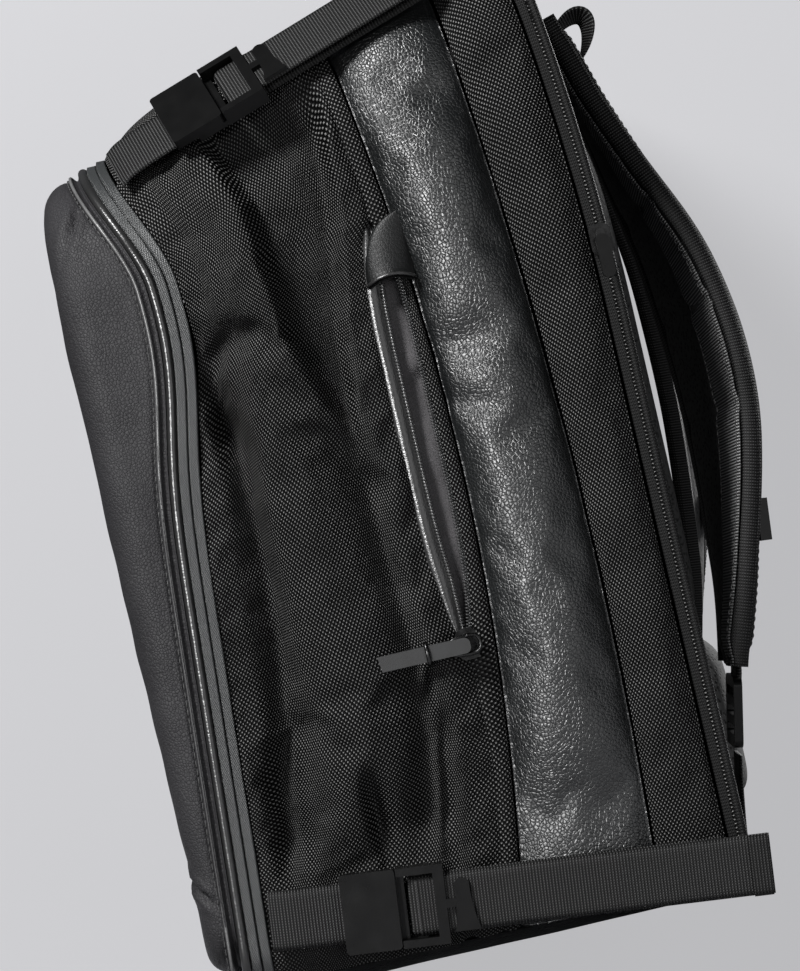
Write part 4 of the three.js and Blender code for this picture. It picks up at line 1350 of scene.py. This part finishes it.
def seen_square_on(s):
    """1 for camera rays that look straight at the wearer's right side, 0 for all others."""
    parts = s.node("SeparateXYZ", Vector=s.node("NewGeometry").outputs["Incoming"])
    facing_camera = s.math("GREATER_THAN", parts.outputs[0], 0.93)
    return s.math("MULTIPLY", facing_camera, s.node("LightPath").outputs["Is Camera Ray"])


def stage_material(name, fades):
    """Pale matte paper. The floor fades into the background; the backdrop shows only from in front."""
    s = Shader(name)
    shade, glow = (0.50, 0.0) if fades else (0.16, 0.46)
    s.done(Base_Color=(shade, shade, 1.04 * shade, 1), Roughness=0.95, Specular_IOR_Level=0.1,
           Emission_Color=(1, 1, 1.03, 1), Emission_Strength=glow)
    clear = s.node("BsdfTransparent")
    blend = s.node("MixShader")
    output = s.nodes["Material Output"]
    if fades:
        parts = s.node("SeparateXYZ", Vector=s.node("NewGeometry").outputs["Position"])
        square = s.math("ADD", s.math("POWER", parts.outputs[0], 2.0), s.math("POWER", parts.outputs[1], 2.0))
        near = s.math("SUBTRACT", 1.0, s.math("MINIMUM", square, 1.0))
        s.feed(blend.inputs[0], s.math("MULTIPLY", near, s.math("SUBTRACT", 1.0, seen_square_on(s))))
    else:
        s.feed(blend.inputs[0], seen_square_on(s))
    s.links.new(clear.outputs[0], blend.inputs[1])
    s.links.new(s.surface.outputs[0], blend.inputs[2])
    s.links.new(blend.outputs[0], output.inputs["Surface"])
    return s.material


def add_light(name, place, target, size, power, highlights_only=False):
    data = bpy.data.lights.new(name, "AREA")
    data.shape = "DISK"
    data.size = size
    data.energy = power
    lamp = bpy.data.objects.new(name, data)
    lamp.location = place
    lamp.rotation_euler = (Vector(target) - Vector(place)).to_track_quat("-Z", "Y").to_euler()
    lamp.visible_diffuse = not highlights_only
    bpy.context.scene.collection.objects.link(lamp)


def add_world():
    """A pale background for the camera, with a weaker glow for everything it lights."""
    world = bpy.data.worlds.new("world")
    bpy.context.scene.world = world
    world.use_nodes = True
    nodes, links = world.node_tree.nodes, world.node_tree.links
    background = nodes["Background"]
    seen = nodes.new("ShaderNodeLightPath")
    pick = nodes.new("ShaderNodeMixRGB")
    pick.inputs[1].default_value = (0.06, 0.062, 0.069, 1)
    pick.inputs[2].default_value = (*BACKGROUND, 1)
    links.new(seen.outputs["Is Camera Ray"], pick.inputs[0])
    links.new(pick.outputs[0], background.inputs["Color"])


def add_lights():
    add_world()
    middle = (0.0, 0.0, 0.2)
    add_light("key", (1.1, -0.8, 1.6), middle, 0.45, 62)
    add_light("fill", (1.7, 0.9, 0.3), middle, 1.4, 9)
    add_light("crest", (1.7, -0.75, 0.35), middle, 0.22, 40, highlights_only=True)
    add_light("back_left", (-1.5, 1.5, 0.9), middle, 1.3, 85)
    bpy.context.scene.view_settings.view_transform = "Standard"


def add_camera():
    """Looks at the wearer's right side, rolled so that the bag leans to the left."""
    data = bpy.data.cameras.new("camera")
    data.lens = 120
    data.sensor_width = 36
    data.clip_end = 20
    camera = bpy.data.objects.new("camera", data)
    target = Vector((0.13, 0.0035, 0.1985))
    azimuth = math.radians(90)
    elevation = math.radians(1)
    away = Vector((math.sin(azimuth) * math.cos(elevation), -math.cos(azimuth) * math.cos(elevation),
                   math.sin(elevation)))
    view_height = 0.405
    distance = view_height * data.lens / data.sensor_width
    camera.location = target + away * distance
    up = Vector((0, 0, 1))
    right = up.cross(away).normalized()
    true_up = away.cross(right)
    lean = math.radians(13)
    rolled_right = right * math.cos(lean) - true_up * math.sin(lean)
    rolled_up = away.cross(rolled_right)
    turn = Matrix((rolled_right, rolled_up, away)).transposed()
    camera.rotation_euler = turn.to_euler()
    bpy.context.scene.collection.objects.link(camera)
    bpy.context.scene.camera = camera


add_main_sides()
add_bands()
add_rear_sides()
add_tops()
add_cover()
add_side_zip()
add_straps()
keep_hard_parts()
add_back()
add_shoulder("right")
add_shoulder("left")
add_hang_loop()
add_handle()
add_base()
add_stage()
add_lights()
add_camera()
